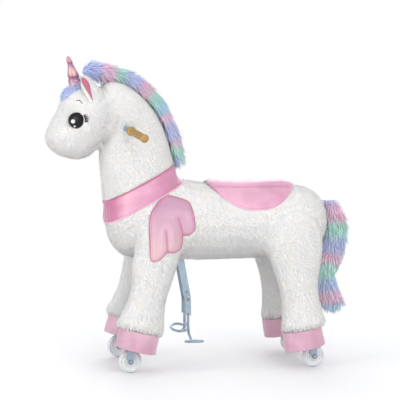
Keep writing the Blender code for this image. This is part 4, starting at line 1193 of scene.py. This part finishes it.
def plantFur(name, skin, lock, fur, material, body=None):
    tree = bpy.data.node_groups.new(name, "GeometryNodeTree")
    for way in ("INPUT", "OUTPUT"):
        tree.interface.new_socket("Geometry", in_out=way, socket_type="NodeSocketGeometry")
    source = addNode(tree, "NodeGroupInput")
    room = addNode(tree, "GeometryNodeInputNamedAttribute", {"Name": "room"}, data_type="FLOAT")
    flow = addNode(tree, "GeometryNodeInputNamedAttribute", {"Name": "flow"}, data_type="FLOAT_VECTOR")
    dense = addNode(tree, "ShaderNodeMath", {
        0: room.outputs["Attribute"], 1: fur["perSquareMetre"]}, operation="MULTIPLY")
    scatter = addNode(tree, "GeometryNodeDistributePointsOnFaces", {
        "Mesh": source.outputs["Geometry"], "Density": dense.outputs[0], "Seed": fur["seed"]})
    jitter = addNode(tree, "FunctionNodeRandomValue", {
        0: (-fur["jitter"],) * 3, 1: (fur["jitter"],) * 3}, data_type="FLOAT_VECTOR")
    aim = addNode(tree, "ShaderNodeVectorMath", {0: flow.outputs["Attribute"], 1: jitter.outputs[0]})
    stand = addNode(tree, "FunctionNodeAlignRotationToVector", {"Vector": aim.outputs[0]}, axis="Z")
    hang = addNode(tree, "FunctionNodeAlignRotationToVector", {
        "Rotation": stand.outputs["Rotation"], "Vector": fur["droop"]}, axis="X", pivot_axis="Z")
    size = addNode(tree, "FunctionNodeRandomValue", {
        2: fur["size"][0], 3: fur["size"][1], "Seed": fur["seed"] + 1}, data_type="FLOAT")
    tone = addNode(tree, "FunctionNodeRandomValue", {"Seed": fur["seed"] + 2}, data_type="FLOAT")
    keep = addNode(tree, "GeometryNodeStoreNamedAttribute", {
        "Name": "tone", "Geometry": scatter.outputs["Points"], "Value": tone.outputs[1],
    }, data_type="FLOAT", domain="POINT")
    model = addNode(tree, "GeometryNodeObjectInfo", {"Object": lock})
    plant = addNode(tree, "GeometryNodeInstanceOnPoints", {
        "Points": keep.outputs["Geometry"], "Instance": model.outputs["Geometry"],
        "Rotation": hang.outputs["Rotation"], "Scale": size.outputs[1]})
    real = addNode(tree, "GeometryNodeRealizeInstances", {"Geometry": plant.outputs["Instances"]})
    addNode(tree, "NodeGroupOutput", {"Geometry": real.outputs["Geometry"]})
    planted = linked(name, skin.data.copy())
    shape(planted, "NODES", node_group=tree)
    planted.data.shade_smooth()
    paint(planted, material)
    if body:
        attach(planted, body)
    print(name, len(planted.data.polygons))
    return planted


pileLook = {"perSquareMetre": 290000, "seed": 3, "jitter": 0.45, "droop": (0, 0, -1), "size": (0.7, 1.15)}
maneLook = {"perSquareMetre": 90000, "seed": 11, "jitter": 0.26, "droop": (0.6, 0, -1),
            "size": (0.6, 1.15), "bare": 0.019}
tailLook = {"perSquareMetre": 80000, "seed": 12, "jitter": 0.22, "droop": (0, 0, -1), "size": (0.6, 1.15)}
cuffLook = {"perSquareMetre": 120000, "seed": 17, "jitter": 0.40, "droop": (0, 0, -1), "size": (0.6, 1.2),
            "height": 0.016}
fringeLook = {"perSquareMetre": 120000, "seed": 14, "jitter": 0.36, "droop": (-0.5, 0, -1),
              "size": (0.7, 1.2), "middle": (-0.366, 0, 0.800), "radii": (0.044, 0.043, 0.030),
              "bare": 0.016}
blushLook = {"nostril": (0.046, -0.436, 0.659), "width": 0.0075, "strength": 0.55}

locks = {  # length, radius, bend, steps and taper of each kind
    "short": makeLock("shortLock", 0.0056, 0.0008, 0.0, 1, 1.6),
    "cuff": makeLock("cuffLock", 0.011, 0.0010, 0.15, 2, 1.6),
    "long": makeLock("longLock", 0.033, 0.0018, 0.40, 4, 1.8),
    "tail": makeLock("tailLock", 0.034, 0.0019, 0.22, 4, 1.8),
    "fringe": makeLock("fringeLock", 0.017, 0.0016, 0.30, 3, 1.8),
}


def blushOf(co):
    y, x, z = blushLook["nostril"]
    near = Vector((abs(co.y) - y, co.x - x, (co.z - z) * 0.45)).length
    return blushLook["strength"] * math.exp(-(near / blushLook["width"]) ** 2)


for skin in (*legSkins.values(), *earSkins.values()):
    setAll(skin, "blush", 0)
for skin in earSkins.values():
    setAll(skin, "fold", 0.0)
setValues(bodySkin, "blush", [blushOf(v.co) for v in bodySkin.data.vertices])

# The long hair's cores, a little inside the CAD's own forms
maneMiddle = Vector((-0.27, 0, 0.62))
tailTop = 0.484


def coatSweep(co, normal):
    return Vector((0.3, 0, -1))


def earSweep(co, normal):
    return Vector((0, 0, 1))


def fringeSweep(co, normal):
    return Vector((co.x - hornLook["foot"].x, co.y, 0)) * 14 + Vector((-0.4, 0, -0.7))


def maneOut(co):
    return Vector((co.x - maneMiddle.x, 0, co.z - maneMiddle.z)).normalized()


def maneSweep(co, normal):
    out = maneOut(co)
    return Vector((out.z, 0, -out.x)) + Vector((0, normal.y * 0.5, -0.15))


def tailSweep(co, normal):
    return Vector((0.15 + 0.25 * normal.x, normal.y * 0.25, -1))


def maneAngle(co):
    return 115 - math.degrees(math.atan2(co.z - maneMiddle.z, co.x - maneMiddle.x))


def shapeMane(co, normal):  # higher over the brow, thinner along the crest
    angle, out = maneAngle(co), maneOut(co)
    thin = 0.0075 * easy(angle, 20, 34) * easy(angle, 105, 80) * max(0, normal.dot(out))
    lift = 0.0095 * easy(angle, 24, 10) + 0.015 * easy(angle, 38, 22) * easy(co.z, 0.850, 0.815)
    return co - out * thin + Vector((0, 0, lift))


def shapeTail(co, normal):  # drawn up a little, its lower half hanging nearer to the leg
    z = tailTop - (tailTop - co.z) * 0.950
    end = easy(z, 0.205, 0.150)
    x = 0.416 + (co.x - 0.416) * (1 + 0.28 * end)
    return Vector((x - 0.0105 * easy(z, 0.320, 0.265) * (1 - 0.45 * end), co.y, z))


hairLook = {"voxel": 0.004, "maneIn": 0.009, "tailIn": 0.008, "smoothing": 6}
maneCore = copyNodes("maneCore", "mane")
remesh(maneCore, hairLook["voxel"])
swell(maneCore, -hairLook["maneIn"])
remesh(maneCore, hairLook["voxel"])
soften(maneCore, hairLook["smoothing"])
moveVertices(maneCore, shapeMane)
tailCore = copyNodes("tailCore", "tail")
remesh(tailCore, hairLook["voxel"])
swell(tailCore, -hairLook["tailIn"])
moveVertices(tailCore, shapeTail)
remesh(tailCore, hairLook["voxel"])
soften(tailCore, hairLook["smoothing"])
for core in (maneCore, tailCore):
    setAll(core, "tip", 0)
    setAll(core, "tone", 0.35)
setValues(maneCore, "place", [maneAngle(v.co) for v in maneCore.data.vertices])
setValues(tailCore, "place", [(tailTop - v.co.z) * 1000 + 14 for v in tailCore.data.vertices])

# The body's pile, in parts, with none on the covers or under the face's threads
covers = [collarBand, saddlePad, *wings.values(), *hoofs, *eyes, hornSpiral, *earSkins.values(),
          *legSkins.values(), bodySkin, maneCore, tailCore]
rooms = roomOn(bodySkin, covers, 0.007)
spots = np.array([tuple(spot) for spot in threadSpots])
for index, v in enumerate(bodySkin.data.vertices):
    if rooms[index] and v.co.z > 0.69 and v.co.x < -0.33:
        if np.min(np.linalg.norm(spots - np.array(v.co), axis=1)) < 0.0055:
            rooms[index] = 0.0


def clearOfHorn(co, radius):
    return (co - hornLook["foot"]).xy.length >= radius


def inFringe(co):
    spans = zip(co, fringeLook["middle"], fringeLook["radii"])
    near = sum(((a - middle) / radius) ** 2 for a, middle, radius in spans) < 1
    return near and clearOfHorn(co, fringeLook["bare"])


def aboveCollar(co):
    return (co - collarLook["middle"]).dot(collarUp) >= 0


layFur(bodySkin, 0.55, 0.85, coatSweep)
for name, test in (
        ("chestPile", lambda co: not aboveCollar(co) and co.x < -0.08),
        ("barrelPile", lambda co: not aboveCollar(co) and -0.08 <= co.x < 0.04),
        ("loinPile", lambda co: not aboveCollar(co) and 0.04 <= co.x < 0.17),
        ("rumpPile", lambda co: not aboveCollar(co) and co.x >= 0.17),
        ("neckPile", lambda co: aboveCollar(co) and co.x > -0.29),
        ("headPile", lambda co: aboveCollar(co) and co.x <= -0.29 and not inFringe(co))):
    keepRoom(bodySkin, rooms, test)
    plantFur(name, bodySkin, locks["short"], pileLook, plushPile, "body")

# The forelock lies forward round the foot of the horn
keepRoom(bodySkin, rooms, inFringe)
layFur(bodySkin, 0.34, 0.93, fringeSweep)
setAll(bodySkin, "place", 0.0)
plantFur("forelock", bodySkin, locks["fringe"], fringeLook, maneColours, "body")


def onLeg(co):  # not where the body's own pile grows, or where the pedal levers pass
    return bodyTree.find_nearest(co, 0.0007)[0] is None and (co.x > 0 or abs(co.y) >= 0.062)


for (end, side), legSkin in legSkins.items():
    rooms = roomOn(legSkin, [bodySkin, collarBand, *wings.values(), legSkin], 0.006)
    keepRoom(legSkin, rooms, onLeg)
    layFur(legSkin, 0.55, 0.85, coatSweep)
    pile = plantFur(f"{end}LegPile_{side}", legSkin, locks["short"], pileLook, plushPile)
    down, heights = legHeights(legSkin, end)
    setValues(legSkin, "room", [room if above < cuffLook["height"] else 0
                                for above, room in zip(heights, valuesOf(legSkin, "room"))])
    setValues(legSkin, "flow", [tuple((v.normal * 0.42 + down * 0.9).normalized())
                                for v in legSkin.data.vertices], "FLOAT_VECTOR")
    pivot, body = legFrames[end]["pivot"], legFrames[end]["body"]
    plantFur(f"{end}CuffPile_{side}", legSkin, locks["cuff"], cuffLook, plushPile, body)
    start, finish = pivot + Vector((0, 0, 0.03)), pivot - Vector((0, 0, 0.10))
    for piece in (legSkin, pile):
        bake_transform(piece)
    paint(legSkin, plushWhite)
    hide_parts(f"{end}_leg_plush_{side}")

for side, earSkin in earSkins.items():
    setValues(earSkin, "room", roomOn(earSkin, [earSkin, earLeaves[side], bodySkin], 0.004))
    layFur(earSkin, 0.5, 0.87, earSweep)
    plantFur(f"earPile_{side}", earSkin, locks["short"], pileLook, plushPile, "body")
    seat(earSkin, "body", plushWhite, "white_plush", f"ear_{side}")

rooms = roomOn(maneCore, [bodySkin, hornSpiral], 0.004)
keepRoom(maneCore, rooms, lambda co: clearOfHorn(co, maneLook["bare"]))
layFur(maneCore, 0.46, 0.88, maneSweep)
plantFur("maneFur", maneCore, locks["long"], maneLook, maneColours, "body")
setValues(tailCore, "room", roomOn(tailCore, [bodySkin], 0.004))
layFur(tailCore, 0.34, 0.92, tailSweep)
plantFur("tailFur", tailCore, locks["tail"], tailLook, tailColours, "body")
seat(maneCore, "body", maneColours, "long_fur", "mane")
seat(tailCore, "body", tailColours, "long_fur", "tail")
seat(bodySkin, "body", plushWhite, "white_plush", "torso_plush", "neck_plush", "head_plush")
for lock in locks.values():
    drop(lock)
print("fur planted")


# Floor, light and camera

stageLook = {
    "floor": (0.90, 0.90, 0.90), "floorFade": (0.9, 2.6), "world": 0.86, "sky": (0.97, 0.98, 1.0, 1),
    "aim": Vector((0, 0, 0.45)), "lampSize": 2.4,
    "lamps": (("keyLamp", (0.8, -3.8, 1.6), 60), ("fillLamp", (-3.0, -1.4, 1.2), 34),
              ("backLamp", (0.6, 3.4, 2.1), 42)),
    "camera": (-0.784, -4.32, 0.779), "cameraTurn": (86.1, 0, -10.3), "lens": 135, "sensor": 36,
}


def mixInto(tree, outputName, factor, first, second):
    mix = addNode(tree, "ShaderNodeMixShader", {0: factor, 1: first.outputs[0], 2: second.outputs[0]})
    feed(tree, tree.nodes[outputName].inputs["Surface"], mix.outputs[0])


def makeFloor():  # pale near the object, plain white to the camera further away
    floor = primitive(bpy.ops.mesh.primitive_plane_add, "floor", size=60, location=(0, 0, -0.0005))
    material, tree, shader = newMaterial("floorPaint", stageLook["floor"], 0.9)
    path = addNode(tree, "ShaderNodeLightPath")
    place = addNode(tree, "ShaderNodeTexCoord").outputs["Object"]
    away = addNode(tree, "ShaderNodeVectorMath", {0: place}, operation="LENGTH").outputs["Value"]
    seen = addNode(tree, "ShaderNodeMath", {
        0: spread(tree, away, *stageLook["floorFade"]), 1: path.outputs["Is Camera Ray"],
    }, operation="MULTIPLY")
    white = addNode(tree, "ShaderNodeEmission", {"Strength": 1.0})
    mixInto(tree, "Material Output", seen.outputs[0], shader, white)
    floor.data.materials.append(material)


def makeSky():  # soft light, and plain white where the camera or a gloss sees it
    world = bpy.context.scene.world or bpy.data.worlds.new("studio")
    bpy.context.scene.world = world
    world.use_nodes = True
    tree = world.node_tree
    soft = tree.nodes["Background"]
    soft.inputs["Color"].default_value = stageLook["sky"]
    soft.inputs["Strength"].default_value = stageLook["world"]
    clear = addNode(tree, "ShaderNodeBackground", {"Color": (1, 1, 1, 1), "Strength": 1.0})
    path = addNode(tree, "ShaderNodeLightPath")
    either = addNode(tree, "ShaderNodeMath", {
        0: path.outputs["Is Camera Ray"], 1: path.outputs["Is Glossy Ray"]}, operation="MAXIMUM")
    mixInto(tree, "World Output", either.outputs[0], soft, clear)


makeFloor()
makeSky()
for name, place, power in stageLook["lamps"]:
    lamp = linked(name, bpy.data.lights.new(name, "AREA"))
    lamp.data.size = stageLook["lampSize"]
    lamp.data.energy = power
    lamp.location = place
    lamp.rotation_euler = (stageLook["aim"] - Vector(place)).to_track_quat("-Z", "Y").to_euler()
camera = linked("camera", bpy.data.cameras.new("camera"))
camera.data.lens = stageLook["lens"]
camera.data.sensor_width = stageLook["sensor"]
camera.location = stageLook["camera"]
camera.rotation_euler = [math.radians(angle) for angle in stageLook["cameraTurn"]]
bpy.context.scene.camera = camera
bpy.context.scene.view_settings.view_transform = "Standard"
bpy.context.view_layer.update()
print("stage set")
